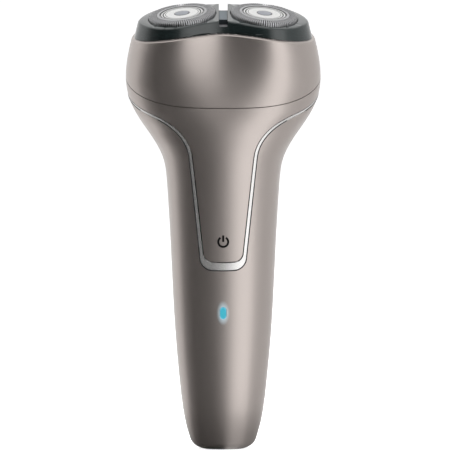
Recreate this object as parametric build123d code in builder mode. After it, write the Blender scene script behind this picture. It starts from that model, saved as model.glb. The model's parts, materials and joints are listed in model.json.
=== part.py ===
from build123d import *
import os
from math import acos, cos, pi, radians, sin, tan

os.makedirs("parts", exist_ok=True)

# A rotary shaver with two heads. It stands on its foot, +Z up along the handle, and its front faces -Y.
# All lengths are in millimetres and all angles in degrees.

# Outer form: sections from the foot up, each with its rise above the one below, half width and half depth
FOOT_HALF_WIDTH = 11.4
FOOT_HALF_DEPTH = 9.2
FOOT_ROUND = 4.2
ANKLE_RISE = 13.5
ANKLE_HALF_WIDTH = 13.5
ANKLE_HALF_DEPTH = 10.8
PALM_RISE = 28.0
PALM_HALF_WIDTH = 16.15
PALM_HALF_DEPTH = 12.8
THUMB_RISE = 38.0
THUMB_HALF_WIDTH = 18.15
THUMB_HALF_DEPTH = 14.7
NECK_RISE = 16.0
NECK_HALF_WIDTH = 19.5
NECK_HALF_DEPTH = 15.8
SHOULDER_RISE = 10.0
SHOULDER_HALF_WIDTH = 24.5
SHOULDER_HALF_DEPTH = 17.0
JAW_RISE = 8.0
JAW_HALF_WIDTH = 30.0
JAW_HALF_DEPTH = 18.1
CHEEK_RISE = 11.0
CHEEK_HALF_WIDTH = 32.5
CHEEK_HALF_DEPTH = 19.0
BROW_RISE = 8.6
BROW_HALF_WIDTH = 31.6
BROW_HALF_DEPTH = 17.7
RIM_RISE = 9.5
RIM_HALF_WIDTH = 28.0
RIM_HALF_DEPTH = 15.9

# The head leans forward: shift to the front and tilt of its sections
SHOULDER_SHIFT = 0.2
JAW_SHIFT = 0.5
CHEEK_SHIFT = 0.6
BROW_SHIFT = 2.2
RIM_SHIFT = 4.0
CHEEK_TILT = 4.0
BROW_TILT = 9.0
HEAD_TILT = 12.5

# The origin is under the middle of the whole depth, so the handle's axis stands behind it
AXIS_SET_BACK = 0.925

# The bowl is drawn in between its two lobes, fading out downward
JAW_WAIST = 0.5
CHEEK_WAIST = 1.4
BROW_WAIST = 2.15
RIM_WAIST = 2.7

# Each quarter of a cross section is one curve, squarer than an ellipse
FULLNESS = 0.62
LOBE_SWELL = 3.0
SECTION_COUNT = 20

# Shell
WALL = 1.8
BASE_WALL = 2.0
RUNNING_GAP = 0.05
FIT_GAP = 0.1
MOVING_GAP = 0.3
TIP_GAP = 0.45

# Slanted seam under the bowl, and the front panel with its tongue and trim
SEAM_TILT = 28.7
SEAM_ABOVE_CHEEK = 0.8
COLLAR_HEIGHT = 5.6
PANEL_LENGTH = 54.1
TONGUE_FOOT_HALF_WIDTH = 6.2
TONGUE_ROOT_HALF_WIDTH = 11.5
TONGUE_CORNER = 2.6
TONGUE_FLARE = 15.0
TRIM_WIDTH = 0.9
TRIM_CHIN = 2.6
PANEL_END = 2.0
PIVOT_RADIUS = 1.2
PIVOT_FRONT = 1.0
LUG_INSET = 4.9
LUG_WALL = 1.4
LUG_HALF_HEIGHT = 2.0
LUG_LENGTH = 10.0

# Power press and charging light, by their heights
POWER_HEIGHT = 69.0
PAD_RADIUS = 2.0
PAD_LENGTH = 0.6
LIGHT_HEIGHT = 46.4
LIGHT_WIDTH = 2.1
LIGHT_LENGTH = 4.0

# Arched rim of the bowl, and the frame of the shaving unit above it
ARCH_HALF_WIDTH = 46.0
ARCH_DROP = 21.0
FRAME_FOOT_HALF_WIDTH = 29.8
FRAME_FOOT_HALF_DEPTH = 15.6
FRAME_TOP_HALF_WIDTH = 27.6
FRAME_TOP_HALF_DEPTH = 13.0
FRAME_DEPTH = 5.5
FRAME_HEIGHT = 3.8
FRAME_CHAMFER = 0.5
RIM_ROUNDING = 0.8
SKIRT_WALL = 0.8
SKIRT_DEPTH = 3.0
SLOT_WIDTH = 2.9
SLOT_FRONT = 8.6
SLOT_FLOOR = 1.0
NOTCH_FLOOR = 1.9
LATCH_FRONT = 4.5
LATCH_BACK = 6.0
LATCH_HEIGHT = 2.5
LATCH_ROUND = 0.6
LATCH_STEM_WIDTH = 1.2
LATCH_STEM_LENGTH = 6.0

# Shaving heads: guards and cutters, each on an axis that leans outward
ROOF_TILT = 6.3
GUARD_PROUD = 1.2
GUARD_RADIUS = 11.2
GUARD_WALL = 0.4
GUARD_SHOULDER = 0.9
TRACK_THICKNESS = 0.35
TRACK_INNER_RADIUS = 7.5
DISH_DEPTH = 0.6
LIP_THICKNESS = 1.2
FLANGE_RADIUS = 11.85
FLANGE_THICKNESS = 0.8
POCKET_GAP = 0.25
HEAD_TRAVEL = 1.2
GUARD_SLOTS = 90
GUARD_SLOT_WIDTH = 0.3
GUARD_SLOT_DEPTH = 1.4
GUARD_SLOT_INSET = 0.8
CAP_RADIUS = 7.2
CAP_THICKNESS = 0.5
CAP_GROOVE_RADIUS = 6.3
CAP_GROOVE_WIDTH = 0.3
BUTTON_RADIUS = 2.6
BUTTON_HEIGHT = 0.25
CUTTER_RADIUS = 10.1
BLADE_COUNT = 15
BLADE_INNER_RADIUS = 8.0
BLADE_THICKNESS = 0.5
BLADE_RAKE = 25.0
BLADE_HEIGHT = 2.1
CUTTER_DISC = 0.9
CUTTER_HUB_RADIUS = 2.9
CUTTER_HUB_LENGTH = 2.7
RETAINER_WALL = 1.5
RETAINER_THICKNESS = 1.0
BRIDGE_HALF_WIDTH = 2.7
BRIDGE_HALF_LENGTH = 5.0
BRIDGE_THICKNESS = 1.5

# Drive: pinion on the motor shaft and one gear under each head
MODULE = 0.6
PINION_TEETH = 12
GEAR_TEETH = 32
PRESSURE_ANGLE = 20.0
ADDENDUM = 0.85
DEDENDUM = 1.25
BACKLASH = 0.12
ROOT_NARROWING = 0.9
GEAR_THICKNESS = 2.5
GEAR_JOURNAL_RADIUS = 3.0
COUPLING_DEPTH = 5.0
DRIVE_SQUARE = 2.4
DRIVE_CLEARANCE = 0.35
SPINDLE_RADIUS = 1.9
SPINDLE_FLANGE_RADIUS = 3.2
SPINDLE_FLANGE = 0.8
STEM_RADIUS = 1.5
STEM_FLAT = 1.2
SPRING_RADIUS = 2.4
SPRING_WIRE_RADIUS = 0.25
SPRING_WIRE_SIDES = 6
SPRING_TURNS = 5

# Levels below the top of the bowl, measured along the head's axis
FLOOR_DEPTH = 11.5
FLOOR_WALL = 1.5
DOME_HEIGHT = 5.0
DOME_RADIUS = 4.9
DOME_WALL = 1.2
GEAR_ROOM = 1.2
PLATE_THICKNESS = 1.6
PLATE_HALF_LENGTH = 26.0
PLATE_HALF_DEPTH = 12.0
PLATE_CORNER = 6.0
BOSS_X = 22.5
BOSS_Y = 9.0
BOSS_RADIUS = 2.2
SCREW_RADIUS = 0.8
SCREW_HEAD_RADIUS = 1.5
SCREW_HEAD = 1.0
SCREW_LENGTH = 4.4

# Motor
MOTOR_RADIUS = 10.0
MOTOR_FLAT = 7.5
MOTOR_LENGTH = 25.0
MOTOR_BOSS_RADIUS = 3.0
MOTOR_BOSS = 1.4
MOTOR_FACE = 4.0
ARMATURE_RADIUS = 6.4
ARMATURE_LENGTH = 16.0
ARMATURE_RISE = 2.5
ARMATURE_POLES = 3
ARMATURE_SLOT_WIDTH = 1.6
ARMATURE_SLOT_DEPTH = 3.2
MOTOR_CAP = 3.0
MOTOR_CAP_STEP = 0.4
MOTOR_SHAFT_RADIUS = 0.75
MOTOR_SCREW_Y = 6.2
TERMINAL_X = 6.0
TERMINAL_WIDTH = 2.2
TERMINAL_THICKNESS = 0.4
TERMINAL_LENGTH = 3.4

# Chassis, board and cells, stacked behind the front panel
SWITCH_SIDE = 6.0
SWITCH_DEPTH = 3.2
PLUNGER_RADIUS = 1.6
PLUNGER_OUT = 0.8
PLUNGER_INSIDE = 1.2
PLUNGER_TRAVEL = 0.6
BOARD_HALF_WIDTH = 8.0
BOARD_THICKNESS = 1.2
BOARD_FOOT = 39.0
BOARD_HEIGHT = 47.0
STANDOFF_LENGTH = 2.0
STANDOFF_RADIUS = 1.4
STANDOFF_INSET = 2.2
LAMP_WIDTH = 1.6
LAMP_DEPTH = 1.0
COIL_SIDE = 6.0
COIL_CORNER = 1.0
COIL_DEPTH = 2.8
COIL_HEIGHT = 57.0
CAPACITOR_RADIUS = 2.0
CAPACITOR_DEPTH = 3.4
CAPACITOR_HEIGHT = 80.0
CAPACITOR_X = 4.6
CHASSIS_FOOT = 14.0
CHASSIS_HEIGHT = 76.0
CHASSIS_WALL = 1.4
CHASSIS_GAP = 0.3
CELL_RADIUS = 5.25
CELL_LENGTH = 44.5
CELL_FOOT = 22.5
CELL_SPACING = 11.0
CELL_NUB_RADIUS = 1.9
CELL_NUB = 0.9
CELL_STOP_WALL = 1.2
CELL_STOP_HALF_WIDTH = 11.0
CELL_STOP_REACH = 9.0
LINK_THICKNESS = 0.3
LINK_WIDTH = 5.0

# Charging inlet in the foot
INLET_WIDTH = 9.2
INLET_DEPTH = 4.8
INLET_WALL = 1.1
INLET_LENGTH = 8.0
INLET_PIN_RADIUS = 0.75
INLET_PIN_SPACING = 4.8
INLET_PIN_RECESS = 4.6
INLET_TAIL = 2.5

# A length that reaches past the whole body, for cutting shapes
REACH = 90.0

# Heights of the sections
ANKLE_Z = ANKLE_RISE
PALM_Z = ANKLE_Z + PALM_RISE
THUMB_Z = PALM_Z + THUMB_RISE
NECK_Z = THUMB_Z + NECK_RISE
SHOULDER_Z = NECK_Z + SHOULDER_RISE
JAW_Z = SHOULDER_Z + JAW_RISE
CHEEK_Z = JAW_Z + CHEEK_RISE
BROW_Z = CHEEK_Z + BROW_RISE
HEAD_Z = BROW_Z + RIM_RISE
SEAM_LEVEL = CHEEK_Z + SEAM_ABOVE_CHEEK
COLLAR_LEVEL = SEAM_LEVEL - COLLAR_HEIGHT
TONGUE_LEVEL = SEAM_LEVEL - PANEL_LENGTH
SEAM_RISE = tan(radians(SEAM_TILT))

# Directions along the slanted seam, to the front and to the back
FORWARD = (0, -cos(radians(SEAM_TILT)), -sin(radians(SEAM_TILT)))
BACKWARD = (0, cos(radians(SEAM_TILT)), sin(radians(SEAM_TILT)))


def tilted_plane(shift, height, tilt):
    """A plane across the body that leans forward by tilt, shifted to the front."""
    lean = radians(tilt)
    return Plane(origin=(0, -shift, height), x_dir=(1, 0, 0), z_dir=(0, -sin(lean), cos(lean)))


# The head's own plane: X across, Y to the back, Z along the drive axes, zero at the top of the bowl's arch
HEAD = tilted_plane(RIM_SHIFT, HEAD_Z, HEAD_TILT)
# The same place seen from the front, for profiles that run through the head from front to back
HEAD_FRONT = Plane(origin=HEAD.origin, x_dir=(1, 0, 0), z_dir=-HEAD.y_dir)
# The upright plane at the ends of the front panel, with heights taken along the seam to the body's axis
PANEL_PLANE = Plane(origin=(0, PANEL_END, PANEL_END * SEAM_RISE), x_dir=(1, 0, 0), z_dir=(0, -1, 0))

GEAR_CENTRE = MODULE * (PINION_TEETH + GEAR_TEETH) / 2
ROOF_SIN = sin(radians(ROOF_TILT))
ROOF_COS = cos(radians(ROOF_TILT))
ROOF_RISE = tan(radians(ROOF_TILT))
GUARD_X = GEAR_CENTRE + COUPLING_DEPTH * ROOF_SIN
GUARD_TOP = FRAME_HEIGHT - GUARD_X * ROOF_RISE + GUARD_PROUD / ROOF_COS
SIDES = {"left": -1, "right": 1}

# Levels along a guard's axis, from the top of its track
LIP_UNDER = -GUARD_PROUD - LIP_THICKNESS
FLANGE_TOP = LIP_UNDER - RUNNING_GAP
FLANGE_UNDER = FLANGE_TOP - FLANGE_THICKNESS
BLADE_TOP = -TRACK_THICKNESS - FIT_GAP
DISC_TOP = BLADE_TOP - BLADE_HEIGHT
DISC_UNDER = DISC_TOP - CUTTER_DISC
HUB_UNDER = DISC_UNDER - CUTTER_HUB_LENGTH
RETAINER_TOP = FLANGE_UNDER - HEAD_TRAVEL - FIT_GAP

# Levels along the drive axes, from the top of the bowl's arch
FLOOR_UNDER = -FLOOR_DEPTH - FLOOR_WALL
DOME_TOP = -FLOOR_DEPTH + DOME_HEIGHT
GEAR_TOP = FLOOR_UNDER - GEAR_ROOM
GEAR_UNDER = GEAR_TOP - GEAR_THICKNESS
PLATE_TOP = GEAR_UNDER - MOVING_GAP
PLATE_UNDER = PLATE_TOP - PLATE_THICKNESS
MOTOR_UNDER = PLATE_UNDER - MOTOR_LENGTH
HUB_LEVEL = GUARD_TOP + HUB_UNDER * ROOF_COS
SPINDLE_SHOULDER = HUB_LEVEL - MOVING_GAP - CUTTER_HUB_RADIUS * ROOF_SIN
SPINDLE_TIP = GUARD_TOP + DISC_UNDER * ROOF_COS - MOVING_GAP - DRIVE_SQUARE * ROOF_SIN
SPINDLE_FLANGE_TOP = DOME_TOP - DOME_WALL - FIT_GAP
SPINDLE_FLANGE_UNDER = SPINDLE_FLANGE_TOP - SPINDLE_FLANGE


def outline(half_width, half_depth, waist=0.0):
    """Closed curve of a cross section; waist makes a soft valley between two lobes in its front and back."""
    near = 0.6 * FULLNESS
    middle = 0.3 + 0.6 * FULLNESS
    far = 0.7 + 0.3 * FULLNESS
    lobe = far * half_depth + LOBE_SWELL * waist
    valley = half_depth - waist
    for across in (1, -1):
        for along in (1, -1):
            Bezier(
                (across * half_width, 0),
                (across * half_width, along * near * half_depth),
                (across * far * half_width, along * middle * half_depth),
                (across * middle * half_width, along * lobe),
                (across * near * half_width, along * valley),
                (0, along * valley),
            )


def eased(heights, values, height):
    """Value at a height on a smooth curve through the given values, with no swing between them."""
    steps = [b - a for a, b in zip(heights, heights[1:])]
    slopes = [(b - a) / step for a, b, step in zip(values, values[1:], steps)]
    tangents = [slopes[0]]
    for before, after in zip(slopes, slopes[1:]):
        tangents.append(2 * before * after / (before + after) if before * after > 0 else 0.0)
    tangents.append(slopes[-1])
    place = max(i for i in range(len(steps)) if heights[i] <= height or i == 0)
    step = steps[place]
    t = (height - heights[place]) / step
    start = values[place] + t * step * tangents[place]
    rise = values[place + 1] - values[place]
    square = 3 * rise - step * (2 * tangents[place] + tangents[place + 1])
    cube = step * (tangents[place] + tangents[place + 1]) - 2 * rise
    return start + square * t**2 + cube * t**3


def body_form(inset=0.0, foot=0.0):
    """Solid form of handle and head, drawn in by inset and standing on the level foot."""
    top = HEAD.offset(WALL).origin
    heights = [0, ANKLE_Z, PALM_Z, THUMB_Z, NECK_Z, SHOULDER_Z, JAW_Z, CHEEK_Z, BROW_Z, top.Z]
    half_widths = [
        FOOT_HALF_WIDTH, ANKLE_HALF_WIDTH, PALM_HALF_WIDTH, THUMB_HALF_WIDTH, NECK_HALF_WIDTH,
        SHOULDER_HALF_WIDTH, JAW_HALF_WIDTH, CHEEK_HALF_WIDTH, BROW_HALF_WIDTH, RIM_HALF_WIDTH,
    ]
    half_depths = [
        FOOT_HALF_DEPTH, ANKLE_HALF_DEPTH, PALM_HALF_DEPTH, THUMB_HALF_DEPTH, NECK_HALF_DEPTH,
        SHOULDER_HALF_DEPTH, JAW_HALF_DEPTH, CHEEK_HALF_DEPTH, BROW_HALF_DEPTH, RIM_HALF_DEPTH,
    ]
    shifts = [0, 0, 0, 0, 0, SHOULDER_SHIFT, JAW_SHIFT, CHEEK_SHIFT, BROW_SHIFT, -top.Y]
    tilts = [0, 0, 0, 0, 0, 0, 0, CHEEK_TILT, BROW_TILT, HEAD_TILT]
    waists = [0, 0, 0, 0, 0, 0, JAW_WAIST, CHEEK_WAIST, BROW_WAIST, RIM_WAIST]
    with BuildPart() as form:
        for step in range(SECTION_COUNT + 1):
            height = foot + (top.Z - foot) * step / SECTION_COUNT
            shift = eased(heights, shifts, height)
            tilt = eased(heights, tilts, height)
            with BuildSketch(tilted_plane(shift, height, tilt)):
                with BuildLine():
                    outline(
                        eased(heights, half_widths, height) - inset,
                        eased(heights, half_depths, height) - inset,
                        eased(heights, waists, height),
                    )
                make_face()
        loft()
        fillet(form.edges().group_by(Axis.Z)[0], FOOT_ROUND - inset)
    return form.part


def under_arch(lift=0.0):
    """Everything below the arched rim of the bowl, raised by lift."""
    with BuildPart() as region:
        with BuildSketch(HEAD_FRONT):
            with Locations((0, lift - ARCH_DROP)):
                Ellipse(ARCH_HALF_WIDTH, ARCH_DROP)
                Rectangle(2 * ARCH_HALF_WIDTH, REACH, align=(Align.CENTER, Align.MAX))
        extrude(amount=REACH, both=True)
    return region.part


def under_roof():
    """Everything below the two slopes of the shaving unit's top."""
    with BuildPart() as region:
        with BuildSketch(HEAD_FRONT):
            with BuildLine():
                eaves = FRAME_HEIGHT - REACH * ROOF_RISE
                Polyline(
                    (-REACH, -REACH), (REACH, -REACH), (REACH, eaves), (0, FRAME_HEIGHT), (-REACH, eaves),
                    close=True,
                )
            make_face()
        extrude(amount=REACH, both=True)
    return region.part


def above_seam(level):
    """Everything above a plane along the seam that crosses the body's axis at level."""
    with BuildPart() as region:
        with BuildSketch(PANEL_PLANE):
            with Locations((0, level)):
                Rectangle(2 * REACH, REACH, align=(Align.CENTER, Align.MIN))
        extrude(amount=REACH, dir=FORWARD)
        extrude(region.faces().sort_by(Axis.Y)[-1], amount=REACH, dir=BACKWARD)
    return region.part


def panel_region(grow, chin):
    """Inside of the panel's outline, grown by grow at its sides and by chin at its tip, up to the seam."""
    level = COLLAR_LEVEL - grow
    tip = TONGUE_LEVEL - chin
    root = TONGUE_ROOT_HALF_WIDTH + grow
    foot = TONGUE_FOOT_HALF_WIDTH + grow
    corner = TONGUE_CORNER + grow
    flare = TONGUE_FLARE - grow
    with BuildPart() as region:
        with BuildSketch(PANEL_PLANE):
            with BuildLine():
                edge = FilletPolyline(
                    (-REACH, level), (-root, level), (-foot, tip),
                    (foot, tip), (root, level), (REACH, level),
                    radius=(flare, corner, corner, flare),
                )
                Polyline(edge @ 1, (REACH, SEAM_LEVEL), (-REACH, SEAM_LEVEL), edge @ 0)
            make_face()
        extrude(amount=REACH, dir=FORWARD)
    return region.part


def rear_region(low, high, start=0.0):
    """Band along the seam behind the panel's ends, between two levels on the body's axis."""
    plane = Plane(origin=PANEL_PLANE.origin + Vector(BACKWARD) * start, x_dir=(1, 0, 0), z_dir=(0, -1, 0))
    with BuildPart() as region:
        with BuildSketch(plane):
            with Locations((0, low)):
                Rectangle(2 * REACH, high - low, align=(Align.CENTER, Align.MIN))
        extrude(amount=REACH, dir=BACKWARD)
    return region.part


def gear_points(teeth, first=0.0):
    """Tooth outline of a gear, with its first tooth turned from +X by a share of the pitch."""
    pitch_radius = MODULE * teeth / 2
    base_radius = pitch_radius * cos(radians(PRESSURE_ANGLE))
    root_radius = pitch_radius - DEDENDUM * MODULE
    tip_radius = pitch_radius + ADDENDUM * MODULE
    pitch_half = pi / (2 * teeth) - BACKLASH / (2 * pitch_radius)

    def involute(radius):
        angle = acos(min(1.0, base_radius / radius))
        return tan(angle) - angle

    def half_angle(radius):
        return pitch_half + involute(pitch_radius) - involute(radius)

    flank = [(root_radius, half_angle(base_radius) * ROOT_NARROWING)]
    for radius in (max(base_radius, root_radius), pitch_radius, tip_radius):
        flank.append((radius, half_angle(radius)))
    points = []
    for tooth in range(teeth):
        middle = 2 * pi * (tooth + first) / teeth
        for radius, half in flank:
            points.append((radius * cos(middle - half), radius * sin(middle - half)))
        for radius, half in reversed(flank):
            points.append((radius * cos(middle + half), radius * sin(middle + half)))
    return points


def keep(piece, name):
    """Sets a finished piece back with the handle's axis, labels it and writes it to its own file."""
    placed = Pos(0, AXIS_SET_BACK, 0) * piece.part
    placed.label = name
    export_step(placed, f"parts/{name}.step")


outer_form = body_form()
inner_form = body_form(WALL, BASE_WALL)
inside_fit = body_form(WALL + CHASSIS_GAP, BASE_WALL + CHASSIS_GAP)


def inside_front(height):
    """Y of the shell's inner front face at a height."""
    crossings = inner_form.find_intersection_points(Axis((0, 0, height), (0, -1, 0)))
    return min(point.Y for point, normal in crossings)


with BuildPart() as shell:
    add(outer_form)
    add(inner_form, mode=Mode.SUBTRACT)

trim_inner = panel_region(MOVING_GAP, TIP_GAP)
trim_outer = panel_region(MOVING_GAP + TRIM_WIDTH, TIP_GAP + TRIM_CHIN)
housing_edge = panel_region(MOVING_GAP + TRIM_WIDTH + FIT_GAP, TIP_GAP + TRIM_CHIN + FIT_GAP)
TRIM_TOP = COLLAR_LEVEL - MOVING_GAP
TRIM_FOOT = TRIM_TOP - TRIM_WIDTH

# Depths behind the power sign, from the panel to the cells
PAD_TIP = inside_front(POWER_HEIGHT) + PAD_LENGTH
PLUNGER_TIP = PAD_TIP + FIT_GAP
SWITCH_FRONT = PLUNGER_TIP + PLUNGER_OUT
BOARD_FRONT = SWITCH_FRONT + SWITCH_DEPTH
BOARD_BACK = BOARD_FRONT + BOARD_THICKNESS
CHASSIS_FRONT = BOARD_BACK + STANDOFF_LENGTH
CHASSIS_BACK = CHASSIS_FRONT + CHASSIS_WALL
CELL_Y = CHASSIS_BACK + FIT_GAP + CELL_RADIUS
LAMP_FRONT = BOARD_FRONT - LAMP_DEPTH

# The panel rocks on pegs in two lugs, on an axis across the middle of the collar
PIVOT_Z = SEAM_LEVEL - COLLAR_HEIGHT / 2 - PIVOT_FRONT * SEAM_RISE
PIVOT_X = CHEEK_HALF_WIDTH - LUG_INSET
PIVOT_PLANE = Plane(origin=(PIVOT_X, -PIVOT_FRONT, PIVOT_Z), x_dir=BACKWARD, z_dir=(1, 0, 0))


def upright(depth):
    """Plane that faces the front at a depth, with X across and Y up."""
    return Plane(origin=(0, depth, 0), x_dir=(1, 0, 0), z_dir=(0, -1, 0))


# Handle housing, open at the panel and pierced for the light and the inlet
with BuildPart() as handle_housing:
    add(shell.part)
    add(housing_edge, mode=Mode.SUBTRACT)
    add(above_seam(SEAM_LEVEL), mode=Mode.SUBTRACT)
    add(rear_region(TRIM_FOOT - FIT_GAP, SEAM_LEVEL), mode=Mode.SUBTRACT)
    with BuildSketch(upright(0)):
        with Locations((0, LIGHT_HEIGHT)):
            SlotOverall(LIGHT_LENGTH + 2 * FIT_GAP, LIGHT_WIDTH + 2 * FIT_GAP, rotation=90)
    extrude(amount=REACH, mode=Mode.SUBTRACT)
    with BuildSketch(Plane.XY):
        SlotOverall(INLET_WIDTH, INLET_DEPTH)
    extrude(amount=BASE_WALL, mode=Mode.SUBTRACT)
keep(handle_housing, "handle_housing")

# Trim: a strip round the panel's outline that runs on round the back of the neck
with BuildPart() as trim_path:
    add(trim_outer)
    add(trim_inner, mode=Mode.SUBTRACT)
    add(rear_region(TRIM_FOOT, TRIM_TOP))

with BuildPart() as trim_band:
    add(shell.part)
    add(trim_path.part, mode=Mode.INTERSECT)
keep(trim_band, "trim_band")

# Front panel: half of the collar with the tongue, its pivot pegs and the pad over the switch
with BuildPart() as pegs:
    with BuildSketch(Plane(origin=(PIVOT_X, -PIVOT_FRONT, PIVOT_Z), x_dir=(0, 1, 0), z_dir=(1, 0, 0))):
        Circle(PIVOT_RADIUS)
    extrude(amount=LUG_INSET - WALL / 2)
    mirror(about=Plane.YZ)

with BuildPart() as front_panel:
    add(shell.part)
    add(panel_region(0, 0), mode=Mode.INTERSECT)
    add(above_seam(SEAM_LEVEL - MOVING_GAP), mode=Mode.SUBTRACT)
    add(pegs.part)
    with BuildSketch(upright(PAD_TIP)):
        with Locations((0, POWER_HEIGHT)):
            Circle(PAD_RADIUS)
    extrude(amount=PAD_LENGTH + WALL / 2)
keep(front_panel, "front_panel")

# Rear half of the collar, with the two lugs that carry the pegs
with BuildPart() as lugs:
    with BuildSketch(PIVOT_PLANE):
        with Locations((-2 * PIVOT_RADIUS, 0)):
            Rectangle(LUG_LENGTH + 2 * PIVOT_RADIUS, 2 * LUG_HALF_HEIGHT, align=(Align.MIN, Align.CENTER))
        Circle(PIVOT_RADIUS + RUNNING_GAP, mode=Mode.SUBTRACT)
    extrude(amount=LUG_WALL)
    mirror(about=Plane.YZ)

with BuildPart() as rear_collar:
    add(shell.part)
    add(rear_region(COLLAR_LEVEL, SEAM_LEVEL - FIT_GAP, MOVING_GAP), mode=Mode.INTERSECT)
    add(lugs.part)
keep(rear_collar, "rear_collar")

# Light window, flush with the handle's front, and the lamp behind it
with BuildPart() as light_window:
    with BuildSketch(upright(LAMP_FRONT - FIT_GAP)):
        with Locations((0, LIGHT_HEIGHT)):
            SlotOverall(LIGHT_LENGTH, LIGHT_WIDTH, rotation=90)
    extrude(amount=REACH)
    add(outer_form, mode=Mode.INTERSECT)
keep(light_window, "light_window")

with BuildPart() as led_lamp:
    with BuildSketch(upright(BOARD_FRONT)):
        with Locations((0, LIGHT_HEIGHT)):
            Rectangle(LAMP_WIDTH, LIGHT_LENGTH)
    extrude(amount=LAMP_DEPTH)
keep(led_lamp, "led_lamp")


def inside_beyond(level, reach):
    """Inside of the shell on one side of a level across the head, by the sign of reach."""
    with BuildPart() as room:
        with BuildSketch(HEAD.offset(level)):
            Rectangle(REACH, REACH)
        extrude(amount=reach)
        add(inner_form, mode=Mode.INTERSECT)
    return room.part



def rim_outside(bowl):
    """Outer edges of the bowl's rim, which come out beyond the foot of the head frame."""
    rim = bowl.faces().sort_by(Axis(HEAD.origin, HEAD.z_dir))[-2:]
    around = [edge for edge in rim.edges() if edge.length > 2 * WALL]
    boxes = [edge.bounding_box() for edge in around]
    reaches = [max(-box.min.X, box.max.X) for box in boxes]
    return [edge for edge, reach in zip(around, reaches) if reach > FRAME_FOOT_HALF_WIDTH]


# Hair chamber: the bowl above the seam, with its floor, two drive domes and four bosses for the gear plate
with BuildPart() as hair_chamber:
    add(outer_form)
    add(above_seam(SEAM_LEVEL), mode=Mode.INTERSECT)
    add(under_arch(), mode=Mode.INTERSECT)
    add(inside_beyond(-FLOOR_DEPTH, REACH), mode=Mode.SUBTRACT)
    add(inside_beyond(FLOOR_UNDER, -REACH), mode=Mode.SUBTRACT)
    fillet(rim_outside(hair_chamber), RIM_ROUNDING)
    with BuildSketch(HEAD.offset(-FLOOR_DEPTH)):
        with GridLocations(2 * GEAR_CENTRE, 0, 2, 1):
            Circle(DOME_RADIUS)
    extrude(amount=DOME_HEIGHT)
    with BuildSketch(HEAD.offset(FLOOR_UNDER)):
        with GridLocations(2 * BOSS_X, 2 * BOSS_Y, 2, 2):
            Circle(BOSS_RADIUS)
    extrude(amount=PLATE_TOP - FLOOR_UNDER)
    with BuildSketch(HEAD.offset(FLOOR_UNDER)):
        with GridLocations(2 * GEAR_CENTRE, 0, 2, 1):
            Circle(DOME_RADIUS - DOME_WALL)
    extrude(amount=DOME_TOP - DOME_WALL - FLOOR_UNDER, mode=Mode.SUBTRACT)
    with BuildSketch(HEAD.offset(FLOOR_UNDER)):
        with GridLocations(2 * GEAR_CENTRE, 0, 2, 1):
            Circle(SPINDLE_RADIUS + MOVING_GAP)
    extrude(amount=DOME_TOP - FLOOR_UNDER, mode=Mode.SUBTRACT)
    with BuildSketch(HEAD.offset(PLATE_TOP)):
        with GridLocations(2 * BOSS_X, 2 * BOSS_Y, 2, 2):
            Circle(SCREW_RADIUS + RUNNING_GAP)
    extrude(amount=SCREW_LENGTH - PLATE_THICKNESS, mode=Mode.SUBTRACT)
keep(hair_chamber, "hair_chamber")

# Gear plate under the chamber, which carries the gears and the motor, and its screws
with BuildPart() as gear_plate:
    with BuildSketch(HEAD.offset(PLATE_UNDER)):
        RectangleRounded(2 * PLATE_HALF_LENGTH, 2 * PLATE_HALF_DEPTH, PLATE_CORNER)
        with GridLocations(2 * GEAR_CENTRE, 0, 2, 1):
            Circle(GEAR_JOURNAL_RADIUS + RUNNING_GAP, mode=Mode.SUBTRACT)
        with GridLocations(2 * BOSS_X, 2 * BOSS_Y, 2, 2):
            Circle(SCREW_RADIUS + RUNNING_GAP, mode=Mode.SUBTRACT)
        with GridLocations(0, 2 * MOTOR_SCREW_Y, 1, 2):
            Circle(SCREW_RADIUS + RUNNING_GAP, mode=Mode.SUBTRACT)
        Circle(MOTOR_BOSS_RADIUS + RUNNING_GAP, mode=Mode.SUBTRACT)
    extrude(amount=PLATE_THICKNESS)
keep(gear_plate, "gear_plate")

with BuildPart() as gear_plate_screws:
    with BuildSketch(HEAD.offset(PLATE_UNDER)):
        with GridLocations(2 * BOSS_X, 2 * BOSS_Y, 2, 2):
            Circle(SCREW_HEAD_RADIUS)
    extrude(amount=-SCREW_HEAD)
    with BuildSketch(HEAD.offset(PLATE_UNDER)):
        with GridLocations(2 * BOSS_X, 2 * BOSS_Y, 2, 2):
            Circle(SCREW_RADIUS)
    extrude(amount=SCREW_LENGTH - RUNNING_GAP)
keep(gear_plate_screws, "gear_plate_screws")

with BuildPart() as motor_screws:
    with BuildSketch(HEAD.offset(PLATE_TOP)):
        with GridLocations(0, 2 * MOTOR_SCREW_Y, 1, 2):
            Circle(SCREW_HEAD_RADIUS)
    extrude(amount=SCREW_HEAD)
    with BuildSketch(HEAD.offset(PLATE_TOP)):
        with GridLocations(0, 2 * MOTOR_SCREW_Y, 1, 2):
            Circle(SCREW_RADIUS)
    extrude(amount=RUNNING_GAP - SCREW_LENGTH)
keep(motor_screws, "motor_screws")

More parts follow.
